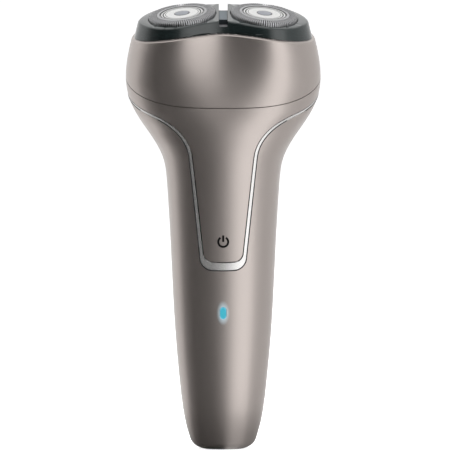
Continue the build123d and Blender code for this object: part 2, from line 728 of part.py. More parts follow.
# Motor: flat-sided can round a slotted armature, plastic end cap, terminals, and the shaft with its pinion
with BuildPart() as motor_can:
    with BuildSketch(HEAD.offset(PLATE_UNDER)):
        Circle(MOTOR_RADIUS)
        Rectangle(2 * MOTOR_RADIUS, 2 * MOTOR_FLAT, mode=Mode.INTERSECT)
    extrude(amount=-MOTOR_LENGTH)
    with BuildSketch(HEAD.offset(PLATE_UNDER)):
        Circle(MOTOR_BOSS_RADIUS)
    extrude(amount=MOTOR_BOSS)
    with BuildSketch(HEAD.offset(PLATE_UNDER + MOTOR_BOSS)):
        Circle(MOTOR_SHAFT_RADIUS + RUNNING_GAP)
    extrude(amount=-MOTOR_BOSS - MOTOR_LENGTH, mode=Mode.SUBTRACT)
    with BuildSketch(HEAD.offset(PLATE_UNDER)):
        with GridLocations(0, 2 * MOTOR_SCREW_Y, 1, 2):
            Circle(SCREW_RADIUS + RUNNING_GAP)
    extrude(amount=PLATE_THICKNESS - SCREW_LENGTH, mode=Mode.SUBTRACT)
    with BuildSketch(HEAD.offset(MOTOR_UNDER)):
        Circle(ARMATURE_RADIUS + MOVING_GAP)
    extrude(amount=MOTOR_LENGTH - MOTOR_FACE, mode=Mode.SUBTRACT)
keep(motor_can, "motor_can")

with BuildPart() as motor_armature:
    with BuildSketch(HEAD.offset(MOTOR_UNDER + ARMATURE_RISE)):
        Circle(ARMATURE_RADIUS)
        with PolarLocations(ARMATURE_RADIUS, ARMATURE_POLES):
            Rectangle(2 * ARMATURE_SLOT_DEPTH, ARMATURE_SLOT_WIDTH, mode=Mode.SUBTRACT)
        Circle(MOTOR_SHAFT_RADIUS, mode=Mode.SUBTRACT)
    extrude(amount=ARMATURE_LENGTH)
keep(motor_armature, "motor_armature")

with BuildPart() as motor_end_cap:
    with BuildSketch(HEAD.offset(MOTOR_UNDER)):
        Circle(MOTOR_RADIUS - MOTOR_CAP_STEP)
        Rectangle(2 * MOTOR_RADIUS, 2 * (MOTOR_FLAT - MOTOR_CAP_STEP), mode=Mode.INTERSECT)
    extrude(amount=-MOTOR_CAP)
    with BuildSketch(HEAD.offset(MOTOR_UNDER)):
        Circle(MOTOR_SHAFT_RADIUS + RUNNING_GAP)
    extrude(amount=-MOTOR_CAP / 2, mode=Mode.SUBTRACT)
keep(motor_end_cap, "motor_end_cap")

with BuildPart() as motor_terminals:
    with BuildSketch(HEAD.offset(MOTOR_UNDER - MOTOR_CAP)):
        with GridLocations(2 * TERMINAL_X, 0, 2, 1):
            Rectangle(TERMINAL_THICKNESS, TERMINAL_WIDTH)
    extrude(amount=-TERMINAL_LENGTH)
keep(motor_terminals, "motor_terminals")

with BuildPart() as motor_shaft:
    with BuildSketch(HEAD.offset(GEAR_TOP)):
        Circle(MOTOR_SHAFT_RADIUS)
    extrude(amount=MOTOR_UNDER - MOTOR_CAP / 2 + FIT_GAP - GEAR_TOP)
keep(motor_shaft, "motor_shaft")

with BuildPart() as drive_pinion:
    with BuildSketch(HEAD.offset(GEAR_UNDER)):
        with BuildLine():
            Polyline(gear_points(PINION_TEETH), close=True)
        make_face()
        Circle(MOTOR_SHAFT_RADIUS, mode=Mode.SUBTRACT)
    extrude(amount=GEAR_THICKNESS)
keep(drive_pinion, "drive_pinion")


def drive_plane(side, level):
    """Plane across one drive axis at a level below the top of the bowl."""
    return Plane(HEAD.location * Location((side * GEAR_CENTRE, 0, level)))


def head_plane(side, level=0.0):
    """Plane across one shaving head's axis at a level below its guard's track."""
    lean = Location((side * GUARD_X, 0, GUARD_TOP), (0, side * ROOF_TILT, 0))
    return Plane(HEAD.location * lean * Location((0, 0, level)))


def head_profile(side):
    """Plane through one shaving head's axis, for turned profiles."""
    flat = head_plane(side)
    return Plane(origin=flat.origin, x_dir=flat.x_dir, z_dir=-flat.y_dir)


def drive_gear(side):
    """Gear with a journal in the gear plate and a flatted bore for the spindle's stem."""
    with BuildPart() as gear:
        with BuildSketch(drive_plane(side, GEAR_UNDER)):
            with BuildLine():
                Polyline(gear_points(GEAR_TEETH, 0.5), close=True)
            make_face()
        extrude(amount=GEAR_THICKNESS)
        with BuildSketch(drive_plane(side, GEAR_UNDER)):
            Circle(GEAR_JOURNAL_RADIUS)
        extrude(amount=PLATE_UNDER - GEAR_UNDER)
        with BuildSketch(drive_plane(side, GEAR_TOP)):
            Circle(STEM_RADIUS + RUNNING_GAP)
            Rectangle(2 * GEAR_JOURNAL_RADIUS, 2 * (STEM_FLAT + RUNNING_GAP), mode=Mode.INTERSECT)
        extrude(amount=PLATE_UNDER - GEAR_TOP, mode=Mode.SUBTRACT)
    return gear


def spindle(side):
    """Drive spindle: square tip in the cutter, round post, spring flange and flatted stem in the gear."""
    with BuildPart() as post:
        with BuildSketch(drive_plane(side, SPINDLE_TIP)):
            RectangleRounded(DRIVE_SQUARE, DRIVE_SQUARE, DRIVE_CLEARANCE)
        extrude(amount=SPINDLE_SHOULDER - SPINDLE_TIP)
        with BuildSketch(drive_plane(side, SPINDLE_SHOULDER)):
            Circle(SPINDLE_RADIUS)
        extrude(amount=SPINDLE_FLANGE_TOP - SPINDLE_SHOULDER)
        with BuildSketch(drive_plane(side, SPINDLE_FLANGE_TOP)):
            Circle(SPINDLE_FLANGE_RADIUS)
        extrude(amount=-SPINDLE_FLANGE)
        with BuildSketch(drive_plane(side, SPINDLE_FLANGE_UNDER)):
            Circle(STEM_RADIUS)
            Rectangle(2 * STEM_RADIUS, 2 * STEM_FLAT, mode=Mode.INTERSECT)
        extrude(amount=PLATE_UNDER - SPINDLE_FLANGE_UNDER)
    return post


def spindle_spring(side):
    """Coil spring between the gear and the spindle's flange."""
    seat = SPRING_WIRE_RADIUS + RUNNING_GAP
    length = SPINDLE_FLANGE_UNDER - GEAR_TOP - 2 * seat
    flat = drive_plane(side, GEAR_TOP + seat)
    with BuildPart() as spring:
        with BuildLine() as coil:
            Helix(length / SPRING_TURNS, length, SPRING_RADIUS, center=flat.origin, direction=flat.z_dir)
        with BuildSketch(Plane(origin=coil.line @ 0, z_dir=coil.line % 0)):
            RegularPolygon(SPRING_WIRE_RADIUS, SPRING_WIRE_SIDES)
        sweep()
    return spring


def guard(side):
    """Steel guard: a slotted track round a dish, with a flange that the frame's lip holds."""
    side_inner = GUARD_RADIUS - GUARD_WALL
    track_wall = TRACK_INNER_RADIUS + GUARD_WALL
    shoulder = GUARD_RADIUS - GUARD_SHOULDER
    dish_under = -DISH_DEPTH - GUARD_WALL
    with BuildPart() as cover:
        with BuildSketch(head_profile(side)):
            with BuildLine():
                Polyline((0, dish_under), (0, -DISH_DEPTH), (TRACK_INNER_RADIUS, -DISH_DEPTH))
                Polyline((TRACK_INNER_RADIUS, -DISH_DEPTH), (TRACK_INNER_RADIUS, 0), (shoulder, 0))
                TangentArc((shoulder, 0), (GUARD_RADIUS, -GUARD_SHOULDER), tangent=(1, 0))
                Polyline(
                    (GUARD_RADIUS, -GUARD_SHOULDER), (GUARD_RADIUS, FLANGE_TOP),
                    (FLANGE_RADIUS, FLANGE_TOP), (FLANGE_RADIUS, FLANGE_UNDER),
                    (side_inner, FLANGE_UNDER), (side_inner, -TRACK_THICKNESS),
                    (track_wall, -TRACK_THICKNESS), (track_wall, dish_under),
                    (0, dish_under),
                )
            make_face()
        revolve(axis=Axis(head_plane(side).origin, head_plane(side).z_dir))
        slot_inner = TRACK_INNER_RADIUS + GUARD_SLOT_INSET
        slot_length = FLANGE_RADIUS - slot_inner
        with BuildSketch(head_plane(side)):
            with PolarLocations(slot_inner + slot_length / 2, GUARD_SLOTS):
                Rectangle(slot_length, GUARD_SLOT_WIDTH)
        extrude(amount=-GUARD_SLOT_DEPTH, mode=Mode.SUBTRACT)
    return cover


def guard_cap(side):
    """Bright disc in the guard's dish, with one turned groove and a seat for the button."""
    seat = -DISH_DEPTH
    top = seat + CAP_THICKNESS
    groove_floor = top - CAP_GROOVE_WIDTH
    button_seat = BUTTON_RADIUS + RUNNING_GAP
    with BuildPart() as disc:
        with BuildSketch(head_profile(side)):
            with BuildLine():
                Polyline(
                    (0, seat), (CAP_RADIUS, seat), (CAP_RADIUS, top),
                    (CAP_GROOVE_RADIUS + CAP_GROOVE_WIDTH, top), (CAP_GROOVE_RADIUS, groove_floor),
                    (CAP_GROOVE_RADIUS - CAP_GROOVE_WIDTH, top),
                    (button_seat, top), (button_seat, groove_floor), (0, groove_floor),
                    close=True,
                )
            make_face()
        revolve(axis=Axis(head_plane(side).origin, head_plane(side).z_dir))
    return disc


def guard_button(side):
    """Small domed disc in the middle of the cap."""
    seat = -DISH_DEPTH + CAP_THICKNESS - CAP_GROOVE_WIDTH
    edge = seat + CAP_GROOVE_WIDTH
    with BuildPart() as disc:
        with BuildSketch(head_profile(side)):
            with BuildLine():
                Polyline((0, edge + BUTTON_HEIGHT), (0, seat), (BUTTON_RADIUS, seat), (BUTTON_RADIUS, edge))
                TangentArc((0, edge + BUTTON_HEIGHT), (BUTTON_RADIUS, edge), tangent=(1, 0))
            make_face()
        revolve(axis=Axis(head_plane(side).origin, head_plane(side).z_dir))
    return disc


def cutter(side):
    """Rotor with raked blades under the guard's track and a square socket for the spindle."""
    blade_length = CUTTER_RADIUS - BLADE_INNER_RADIUS
    with BuildPart() as rotor:
        with BuildSketch(head_plane(side, DISC_UNDER)):
            Circle(CUTTER_RADIUS)
        extrude(amount=CUTTER_DISC)
        with BuildSketch(head_plane(side, DISC_TOP)):
            with PolarLocations(BLADE_INNER_RADIUS + blade_length / 2, BLADE_COUNT):
                Rectangle(blade_length, BLADE_THICKNESS, rotation=BLADE_RAKE)
            Circle(CUTTER_RADIUS, mode=Mode.INTERSECT)
        extrude(amount=BLADE_HEIGHT)
        with BuildSketch(head_plane(side, DISC_UNDER)):
            Circle(CUTTER_HUB_RADIUS)
        extrude(amount=-CUTTER_HUB_LENGTH)
        with BuildSketch(head_plane(side, HUB_UNDER)):
            socket = DRIVE_SQUARE + 2 * DRIVE_CLEARANCE
            Rectangle(socket, socket)
        extrude(amount=CUTTER_HUB_LENGTH, mode=Mode.SUBTRACT)
    return rotor


for name, side in SIDES.items():
    keep(drive_gear(side), f"drive_gear_{name}")
    keep(spindle(side), f"spindle_{name}")
    keep(spindle_spring(side), f"spindle_spring_{name}")
    keep(guard(side), f"guard_{name}")
    keep(guard_cap(side), f"guard_cap_{name}")
    keep(guard_button(side), f"guard_button_{name}")
    keep(cutter(side), f"cutter_{name}")


# Head frame: two-lobed rim with a skirt in the bowl, two stepped pockets and a slot for the latch
skirt_half_width = RIM_HALF_WIDTH - WALL - FIT_GAP
skirt_half_depth = RIM_HALF_DEPTH - WALL - FIT_GAP
with BuildPart() as skirt:
    with BuildSketch(HEAD.offset(FIT_GAP)):
        with BuildLine():
            outline(skirt_half_width, skirt_half_depth, RIM_WAIST)
        make_face()
        with BuildLine(mode=Mode.PRIVATE) as skirt_inside:
            outline(skirt_half_width - SKIRT_WALL, skirt_half_depth - SKIRT_WALL, RIM_WAIST)
        make_face(skirt_inside.line, mode=Mode.SUBTRACT)
    extrude(amount=-REACH)
    add(under_arch(-SKIRT_DEPTH), mode=Mode.SUBTRACT)

with BuildPart() as half_frame:
    with BuildSketch(HEAD.offset(-FRAME_DEPTH)):
        with BuildLine():
            outline(FRAME_FOOT_HALF_WIDTH, FRAME_FOOT_HALF_DEPTH, RIM_WAIST)
        make_face()
    with BuildSketch(HEAD.offset(FRAME_HEIGHT)):
        with BuildLine():
            outline(FRAME_TOP_HALF_WIDTH, FRAME_TOP_HALF_DEPTH, RIM_WAIST)
        make_face()
    loft(ruled=True)
    add(under_roof(), mode=Mode.INTERSECT)
    split(bisect_by=Plane.YZ, keep=Keep.TOP)
    slope = half_frame.faces().filter_by(GeomType.PLANE).sort_by(Axis(HEAD.origin, HEAD.z_dir))[-1]
    chamfer(slope.edges().filter_by(GeomType.LINE, reverse=True), FRAME_CHAMFER)
with BuildPart() as head_frame:
    add(half_frame.part)
    mirror(about=Plane.YZ)
    add(under_arch(FIT_GAP), mode=Mode.SUBTRACT)
    add(skirt.part)
    for side in SIDES.values():
        with BuildSketch(head_plane(side)):
            Circle(GUARD_RADIUS + POCKET_GAP)
        extrude(amount=LIP_UNDER, mode=Mode.SUBTRACT)
        with BuildSketch(head_plane(side, LIP_UNDER)):
            Circle(FLANGE_RADIUS + POCKET_GAP)
        extrude(amount=-REACH, mode=Mode.SUBTRACT)
    with BuildSketch(HEAD.offset(SLOT_FLOOR)):
        with Locations((0, -SLOT_FRONT)):
            Rectangle(SLOT_WIDTH, REACH, align=(Align.CENTER, Align.MIN))
    extrude(amount=REACH, mode=Mode.SUBTRACT)
    with BuildSketch(HEAD.offset(NOTCH_FLOOR)):
        with Locations((0, -SLOT_FRONT)):
            Rectangle(SLOT_WIDTH, REACH, align=(Align.CENTER, Align.MAX))
    extrude(amount=REACH, mode=Mode.SUBTRACT)
    with BuildSketch(HEAD.offset(SLOT_FLOOR)):
        Rectangle(LATCH_STEM_WIDTH + 2 * FIT_GAP, LATCH_STEM_LENGTH + 2 * FIT_GAP)
    extrude(amount=-REACH, mode=Mode.SUBTRACT)
keep(head_frame, "head_frame")

# Retaining frame: a ring under each guard and a bridge under the head frame's web
BRIDGE_UNDER = -BRIDGE_THICKNESS
with BuildPart() as retaining_frame:
    for side in SIDES.values():
        with BuildSketch(head_plane(side, RETAINER_TOP)):
            Circle(FLANGE_RADIUS)
            Circle(FLANGE_RADIUS - RETAINER_WALL, mode=Mode.SUBTRACT)
        extrude(amount=-RETAINER_THICKNESS)
    with BuildSketch(HEAD.offset(BRIDGE_UNDER)):
        Rectangle(2 * BRIDGE_HALF_WIDTH, 2 * BRIDGE_HALF_LENGTH)
        Rectangle(LATCH_STEM_WIDTH + 2 * FIT_GAP, LATCH_STEM_LENGTH + 2 * FIT_GAP, mode=Mode.SUBTRACT)
    extrude(amount=BRIDGE_THICKNESS)
keep(retaining_frame, "retaining_frame")

# Latch between the heads, whose stem holds the retaining frame
with BuildPart() as centre_latch:
    with BuildSketch(HEAD.offset(SLOT_FLOOR)):
        with Locations((0, -LATCH_FRONT)):
            Rectangle(SLOT_WIDTH - 2 * FIT_GAP, LATCH_FRONT + LATCH_BACK, align=(Align.CENTER, Align.MIN))
    extrude(amount=LATCH_HEIGHT - SLOT_FLOOR)
    fillet(centre_latch.edges().filter_by(Axis.X).group_by(Axis.Z)[-1], LATCH_ROUND)
    with BuildSketch(HEAD.offset(SLOT_FLOOR)):
        Rectangle(LATCH_STEM_WIDTH, LATCH_STEM_LENGTH)
    extrude(amount=BRIDGE_UNDER - SLOT_FLOOR)
keep(centre_latch, "centre_latch")

# Chassis: a tray across the handle with posts for the board and stops for the cells
CELL_TOP = CELL_FOOT + CELL_LENGTH
BOARD_TOP = BOARD_FOOT + BOARD_HEIGHT
with BuildPart() as chassis:
    with BuildSketch(upright(CHASSIS_BACK)):
        with Locations((0, CHASSIS_FOOT)):
            Rectangle(REACH, CHASSIS_HEIGHT, align=(Align.CENTER, Align.MIN))
    extrude(amount=CHASSIS_WALL)
    with BuildSketch(upright(CHASSIS_BACK)):
        with Locations((0, CELL_FOOT - LINK_THICKNESS - FIT_GAP)):
            Rectangle(2 * CELL_STOP_HALF_WIDTH, CELL_STOP_WALL, align=(Align.CENTER, Align.MAX))
        with Locations((0, CELL_TOP + CELL_NUB + LINK_THICKNESS + FIT_GAP)):
            Rectangle(2 * CELL_STOP_HALF_WIDTH, CELL_STOP_WALL, align=(Align.CENTER, Align.MIN))
    extrude(amount=-CELL_STOP_REACH)
    add(inside_fit, mode=Mode.INTERSECT)
    with BuildSketch(upright(CHASSIS_FRONT)):
        with Locations((0, (BOARD_FOOT + BOARD_TOP) / 2)):
            across = 2 * (BOARD_HALF_WIDTH - STANDOFF_INSET)
            with GridLocations(across, BOARD_HEIGHT - 2 * STANDOFF_INSET, 2, 2):
                Circle(STANDOFF_RADIUS)
    extrude(amount=STANDOFF_LENGTH)
keep(chassis, "chassis")

# Cells in series, with their link at the foot and their tabs at the top
for name, side in SIDES.items():
    with BuildPart() as cell:
        with BuildSketch(Plane.XY.offset(CELL_FOOT)):
            with Locations((side * CELL_SPACING / 2, CELL_Y)):
                Circle(CELL_RADIUS)
        extrude(amount=CELL_LENGTH)
        with BuildSketch(Plane.XY.offset(CELL_TOP)):
            with Locations((side * CELL_SPACING / 2, CELL_Y)):
                Circle(CELL_NUB_RADIUS)
        extrude(amount=CELL_NUB)
    keep(cell, f"battery_{name}")

with BuildPart() as battery_link:
    with BuildSketch(Plane.XY.offset(CELL_FOOT)):
        with Locations((0, CELL_Y)):
            SlotCenterToCenter(CELL_SPACING, LINK_WIDTH)
    extrude(amount=-LINK_THICKNESS)
keep(battery_link, "battery_link")

with BuildPart() as battery_tabs:
    with BuildSketch(Plane.XY.offset(CELL_TOP + CELL_NUB)):
        with Locations((0, CELL_Y)):
            with GridLocations(CELL_SPACING, 0, 2, 1):
                RectangleRounded(LINK_WIDTH, LINK_WIDTH, LINK_THICKNESS)
    extrude(amount=LINK_THICKNESS)
keep(battery_tabs, "battery_tabs")

# Circuit board with the switch, coil and capacitors
with BuildPart() as circuit_board:
    with BuildSketch(upright(BOARD_BACK)):
        with Locations((0, BOARD_FOOT)):
            Rectangle(2 * BOARD_HALF_WIDTH, BOARD_HEIGHT, align=(Align.CENTER, Align.MIN))
    extrude(amount=BOARD_THICKNESS)
keep(circuit_board, "circuit_board")

with BuildPart() as switch_body:
    with BuildSketch(upright(BOARD_FRONT)):
        with Locations((0, POWER_HEIGHT)):
            Rectangle(SWITCH_SIDE, SWITCH_SIDE)
    extrude(amount=SWITCH_DEPTH)
    with BuildSketch(upright(SWITCH_FRONT)):
        with Locations((0, POWER_HEIGHT)):
            Circle(PLUNGER_RADIUS + RUNNING_GAP)
    extrude(amount=-PLUNGER_INSIDE - PLUNGER_TRAVEL, mode=Mode.SUBTRACT)
keep(switch_body, "switch_body")

with BuildPart() as switch_plunger:
    with BuildSketch(upright(PLUNGER_TIP)):
        with Locations((0, POWER_HEIGHT)):
            Circle(PLUNGER_RADIUS)
    extrude(amount=-PLUNGER_OUT - PLUNGER_INSIDE)
keep(switch_plunger, "switch_plunger")

with BuildPart() as charge_coil:
    with BuildSketch(upright(BOARD_FRONT)):
        with Locations((0, COIL_HEIGHT)):
            RectangleRounded(COIL_SIDE, COIL_SIDE, COIL_CORNER)
    extrude(amount=COIL_DEPTH)
keep(charge_coil, "charge_coil")

with BuildPart() as board_capacitors:
    with BuildSketch(upright(BOARD_FRONT)):
        with Locations((0, CAPACITOR_HEIGHT)):
            with GridLocations(2 * CAPACITOR_X, 0, 2, 1):
                Circle(CAPACITOR_RADIUS)
    extrude(amount=CAPACITOR_DEPTH)
keep(board_capacitors, "board_capacitors")

# Charging inlet: a cup over the slot in the foot, with two pins
INLET_TOP = BASE_WALL + INLET_LENGTH
with BuildPart() as inlet_socket:
    with BuildSketch(Plane.XY.offset(BASE_WALL)):
        SlotOverall(INLET_WIDTH + 2 * INLET_WALL, INLET_DEPTH + 2 * INLET_WALL)
    extrude(amount=INLET_LENGTH)
    with BuildSketch(Plane.XY.offset(BASE_WALL)):
        SlotOverall(INLET_WIDTH, INLET_DEPTH)
    extrude(amount=INLET_LENGTH - INLET_WALL, mode=Mode.SUBTRACT)
    with BuildSketch(Plane.XY.offset(INLET_TOP)):
        with GridLocations(INLET_PIN_SPACING, 0, 2, 1):
            Circle(INLET_PIN_RADIUS)
    extrude(amount=-INLET_WALL, mode=Mode.SUBTRACT)
keep(inlet_socket, "inlet_socket")

with BuildPart() as inlet_pins:
    with BuildSketch(Plane.XY.offset(INLET_PIN_RECESS)):
        with GridLocations(INLET_PIN_SPACING, 0, 2, 1):
            Circle(INLET_PIN_RADIUS)
    extrude(amount=INLET_TOP + INLET_TAIL - INLET_PIN_RECESS)
keep(inlet_pins, "inlet_pins")
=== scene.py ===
import json
from math import comb, cos, radians, sin, tan

import bpy
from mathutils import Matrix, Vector, interpolate

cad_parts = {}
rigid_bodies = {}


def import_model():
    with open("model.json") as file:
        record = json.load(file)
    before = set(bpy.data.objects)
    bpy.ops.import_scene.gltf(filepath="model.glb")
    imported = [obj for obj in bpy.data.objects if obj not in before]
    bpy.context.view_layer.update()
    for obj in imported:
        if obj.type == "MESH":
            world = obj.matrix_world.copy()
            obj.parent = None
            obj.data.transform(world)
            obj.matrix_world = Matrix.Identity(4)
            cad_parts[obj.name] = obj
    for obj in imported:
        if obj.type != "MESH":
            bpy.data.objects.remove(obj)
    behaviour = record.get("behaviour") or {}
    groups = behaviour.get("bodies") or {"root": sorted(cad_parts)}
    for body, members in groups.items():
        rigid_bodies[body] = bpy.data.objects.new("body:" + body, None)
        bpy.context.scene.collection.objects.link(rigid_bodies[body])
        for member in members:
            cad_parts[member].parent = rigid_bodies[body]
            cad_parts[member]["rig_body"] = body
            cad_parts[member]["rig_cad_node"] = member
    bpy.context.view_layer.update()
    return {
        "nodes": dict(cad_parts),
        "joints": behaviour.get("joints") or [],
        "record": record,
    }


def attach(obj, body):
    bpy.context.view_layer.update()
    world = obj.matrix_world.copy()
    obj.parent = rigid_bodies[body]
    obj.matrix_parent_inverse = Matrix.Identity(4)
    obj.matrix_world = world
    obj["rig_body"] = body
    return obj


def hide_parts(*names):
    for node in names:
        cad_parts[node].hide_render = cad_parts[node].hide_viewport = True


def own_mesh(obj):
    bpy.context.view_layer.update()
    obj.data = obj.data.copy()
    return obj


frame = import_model()
nodes = frame["nodes"]

MM = 0.001
# Points of a mesh that lie nearer than this are the same point
SAME_POINT = 0.001 * MM

# Camera: the photograph is taken from the front and a little above, with a long lens
VIEW_TILT = 5.0
VIEW_DISTANCE = 6.0
VIEW_WIDTH = 0.150
VIEW_AIM = (0.0006, 0.0, 0.0748)
SENSOR = 36.0


def clear_selection():
    """Nothing is selected and no object is active."""
    bpy.ops.object.select_all(action="DESELECT")
    bpy.context.view_layer.objects.active = None


def activate(piece):
    """Selects one piece alone."""
    clear_selection()
    piece.select_set(True)
    bpy.context.view_layer.objects.active = piece


def linked(tree, start, end):
    """Links two sockets, from an output to an input."""
    tree.links.new(start, end)


def new_material(name):
    """A material with a Principled BSDF."""
    finish = bpy.data.materials.new(name)
    finish.use_nodes = True
    return finish


def shader_of(finish):
    """The Principled BSDF of a material."""
    return next(node for node in finish.node_tree.nodes if node.type == "BSDF_PRINCIPLED")


# Grain: octaves of its noise, the part of the noise's range that is spread out, and the height of its relief
GRAIN_DETAIL = 2.0
GRAIN_SPREAD = (0.3, 0.7)
GRAIN_HEIGHT = 0.02 * MM


def moulded_grain_group():
    """Fine uneven surface of a moulding or lacquer: a colour, a roughness and a normal that vary a little."""
    group = bpy.data.node_groups.new("moulded_grain", "ShaderNodeTree")
    face = group.interface
    for label, kind in (("Colour", "NodeSocketColor"), ("Variation", "NodeSocketFloat"),
                        ("Roughness", "NodeSocketFloat"), ("Grain per mm", "NodeSocketFloat"),
                        ("Depth", "NodeSocketFloat")):
        face.new_socket(label, in_out="INPUT", socket_type=kind)
    for label, kind in (("Colour", "NodeSocketColor"), ("Roughness", "NodeSocketFloat"),
                        ("Normal", "NodeSocketVector")):
        face.new_socket(label, in_out="OUTPUT", socket_type=kind)
    entry = group.nodes.new("NodeGroupInput")
    leave = group.nodes.new("NodeGroupOutput")
    place = group.nodes.new("ShaderNodeTexCoord")
    metre = group.nodes.new("ShaderNodeMath")
    metre.operation = "DIVIDE"
    metre.inputs[1].default_value = MM
    linked(group, entry.outputs["Grain per mm"], metre.inputs[0])
    grain = group.nodes.new("ShaderNodeTexNoise")
    grain.inputs["Detail"].default_value = GRAIN_DETAIL
    linked(group, place.outputs["Object"], grain.inputs["Vector"])
    linked(group, metre.outputs["Value"], grain.inputs["Scale"])
    spread = group.nodes.new("ShaderNodeMapRange")
    spread.inputs["From Min"].default_value = GRAIN_SPREAD[0]
    spread.inputs["From Max"].default_value = GRAIN_SPREAD[1]
    spread.inputs["To Min"].default_value = -1.0
    linked(group, grain.outputs["Fac"], spread.inputs["Value"])
    sway = group.nodes.new("ShaderNodeMath")
    sway.operation = "MULTIPLY_ADD"
    sway.inputs[2].default_value = 1.0
    linked(group, spread.outputs["Result"], sway.inputs[0])
    linked(group, entry.outputs["Variation"], sway.inputs[1])
    tint = group.nodes.new("ShaderNodeVectorMath")
    tint.operation = "SCALE"
    linked(group, entry.outputs["Colour"], tint.inputs[0])
    linked(group, sway.outputs["Value"], tint.inputs["Scale"])
    linked(group, tint.outputs["Vector"], leave.inputs["Colour"])
    rough = group.nodes.new("ShaderNodeMath")
    rough.operation = "MULTIPLY"
    linked(group, entry.outputs["Roughness"], rough.inputs[0])
    linked(group, sway.outputs["Value"], rough.inputs[1])
    linked(group, rough.outputs["Value"], leave.inputs["Roughness"])
    bump = group.nodes.new("ShaderNodeBump")
    bump.inputs["Distance"].default_value = GRAIN_HEIGHT
    linked(group, entry.outputs["Depth"], bump.inputs["Strength"])
    linked(group, grain.outputs["Fac"], bump.inputs["Height"])
    linked(group, bump.outputs["Normal"], leave.inputs["Normal"])
    return group


GRAIN = moulded_grain_group()


def grained(name, colour, roughness, metallic=0.0, variation=0.06, per_mm=4.0, depth=0.15):
    """A finish whose colour, roughness and normal come from the moulded grain."""
    finish = new_material(name)
    tree = finish.node_tree
    shader = shader_of(finish)
    grain = tree.nodes.new("ShaderNodeGroup")
    grain.node_tree = GRAIN
    grain.inputs["Colour"].default_value = (*colour, 1.0)
    grain.inputs["Variation"].default_value = variation
    grain.inputs["Roughness"].default_value = roughness
    grain.inputs["Grain per mm"].default_value = per_mm
    grain.inputs["Depth"].default_value = depth
    linked(tree, grain.outputs["Colour"], shader.inputs["Base Color"])
    linked(tree, grain.outputs["Roughness"], shader.inputs["Roughness"])
    linked(tree, grain.outputs["Normal"], shader.inputs["Normal"])
    shader.inputs["Metallic"].default_value = metallic
    return finish


# Finishes by material slot: colour, roughness, metallic, variation, grain per mm and depth of the grain
LOOKS = {
    # outside
    "body_paint": ((0.46, 0.41, 0.385), 0.3, 0.85, 0.05, 9.0, 0.08),
    "trim_silver": ((0.70, 0.69, 0.68), 0.26, 0.75, 0.04, 6.0, 0.06),
    "frame_gloss": ((0.010, 0.016, 0.016), 0.08, 0.0, 0.1, 2.0, 0.02),
    "latch_grey": ((0.095, 0.115, 0.13), 0.42),
    "guard_steel": ((0.42, 0.42, 0.43), 0.34, 0.75, 0.08, 3.0, 0.1),
    "cap_bright": ((0.80, 0.80, 0.79), 0.16, 1.0, 0.03, 5.0, 0.04),
    "button_grey": ((0.20, 0.21, 0.23), 0.4),
    "light_lens": ((0.05, 0.36, 0.44), 0.15),
    # inside
    "lamp": ((0.08, 0.45, 0.55), 0.3),
    "cutter_steel": ((0.60, 0.60, 0.60), 0.25, 1.0),
    "inner_plastic": ((0.04, 0.04, 0.045), 0.45),
    "gear_nylon": ((0.72, 0.71, 0.66), 0.5),
    "spring_steel": ((0.55, 0.55, 0.55), 0.3, 1.0),
    "motor_steel": ((0.50, 0.50, 0.50), 0.35, 1.0),
    "contact_brass": ((0.75, 0.56, 0.24), 0.3, 1.0),
    "cell_wrap": ((0.02, 0.16, 0.10), 0.3),
    "cell_link": ((0.66, 0.66, 0.63), 0.35, 1.0),
    "board_green": ((0.01, 0.12, 0.05), 0.35),
    "part_black": ((0.014, 0.014, 0.016), 0.5),
}
FINISHES = {name: grained(name, *look) for name, look in LOOKS.items()}
# Clear coats: weight and roughness
COATS = {"body_paint": (0.25, 0.12), "frame_gloss": (0.6, 0.04)}
for name, (weight, roughness) in COATS.items():
    shader_of(FINISHES[name]).inputs["Coat Weight"].default_value = weight
    shader_of(FINISHES[name]).inputs["Coat Roughness"].default_value = roughness
shader_of(FINISHES["lamp"]).inputs["Emission Color"].default_value = (0.10, 0.50, 0.60, 1.0)
shader_of(FINISHES["lamp"]).inputs["Emission Strength"].default_value = 1.0

slot_of = {entry["node"]: entry["material_slot"] for entry in frame["record"]["subparts"]}
body_of = {node: body for body, members in frame["record"]["behaviour"]["bodies"].items() for node in members}


def dressed(piece, finish):
    """Gives a piece one finish all over."""
    piece.data.materials.clear()
    piece.data.materials.append(finish)


for name, piece in nodes.items():
    dressed(piece, FINISHES[slot_of[name]])


# Outer form of handle and head, the same sections as the solids have, from the foot up
SECTIONS = (
    # height, half width, half depth, shift to the front, tilt, waist
    (0.0, 11.4, 9.2, 0.0, 0.0, 0.0),
    (13.5, 13.5, 10.8, 0.0, 0.0, 0.0),
    (41.5, 16.15, 12.8, 0.0, 0.0, 0.0),
    (79.5, 18.15, 14.7, 0.0, 0.0, 0.0),
    (95.5, 19.5, 15.8, 0.0, 0.0, 0.0),
    (105.5, 24.5, 17.0, 0.2, 0.0, 0.0),
    (113.5, 30.0, 18.1, 0.5, 0.0, 0.5),
    (124.5, 32.5, 19.0, 0.6, 4.0, 1.4),
    (133.1, 31.6, 17.7, 2.2, 9.0, 2.15),
    (144.357, 28.0, 15.9, 4.390, 12.5, 2.7),
)
# Order of the curve that each quarter of a section is, and how full its corners are
CURVE_ORDER = 5
FULLNESS = 0.62
LOBE_SWELL = 3.0
RIM_SHIFT = 4.0
spins = {joint["name"]: joint for joint in frame["joints"]}
AXIS_Y = spins["motor_spin"]["pos_m"][1] + RIM_SHIFT * MM
FORM_COLUMNS = 240
TURNS = [4.0 * column / FORM_COLUMNS for column in range(FORM_COLUMNS + 1)]
FORM_ROWS = 300
WALL_ROWS = 12


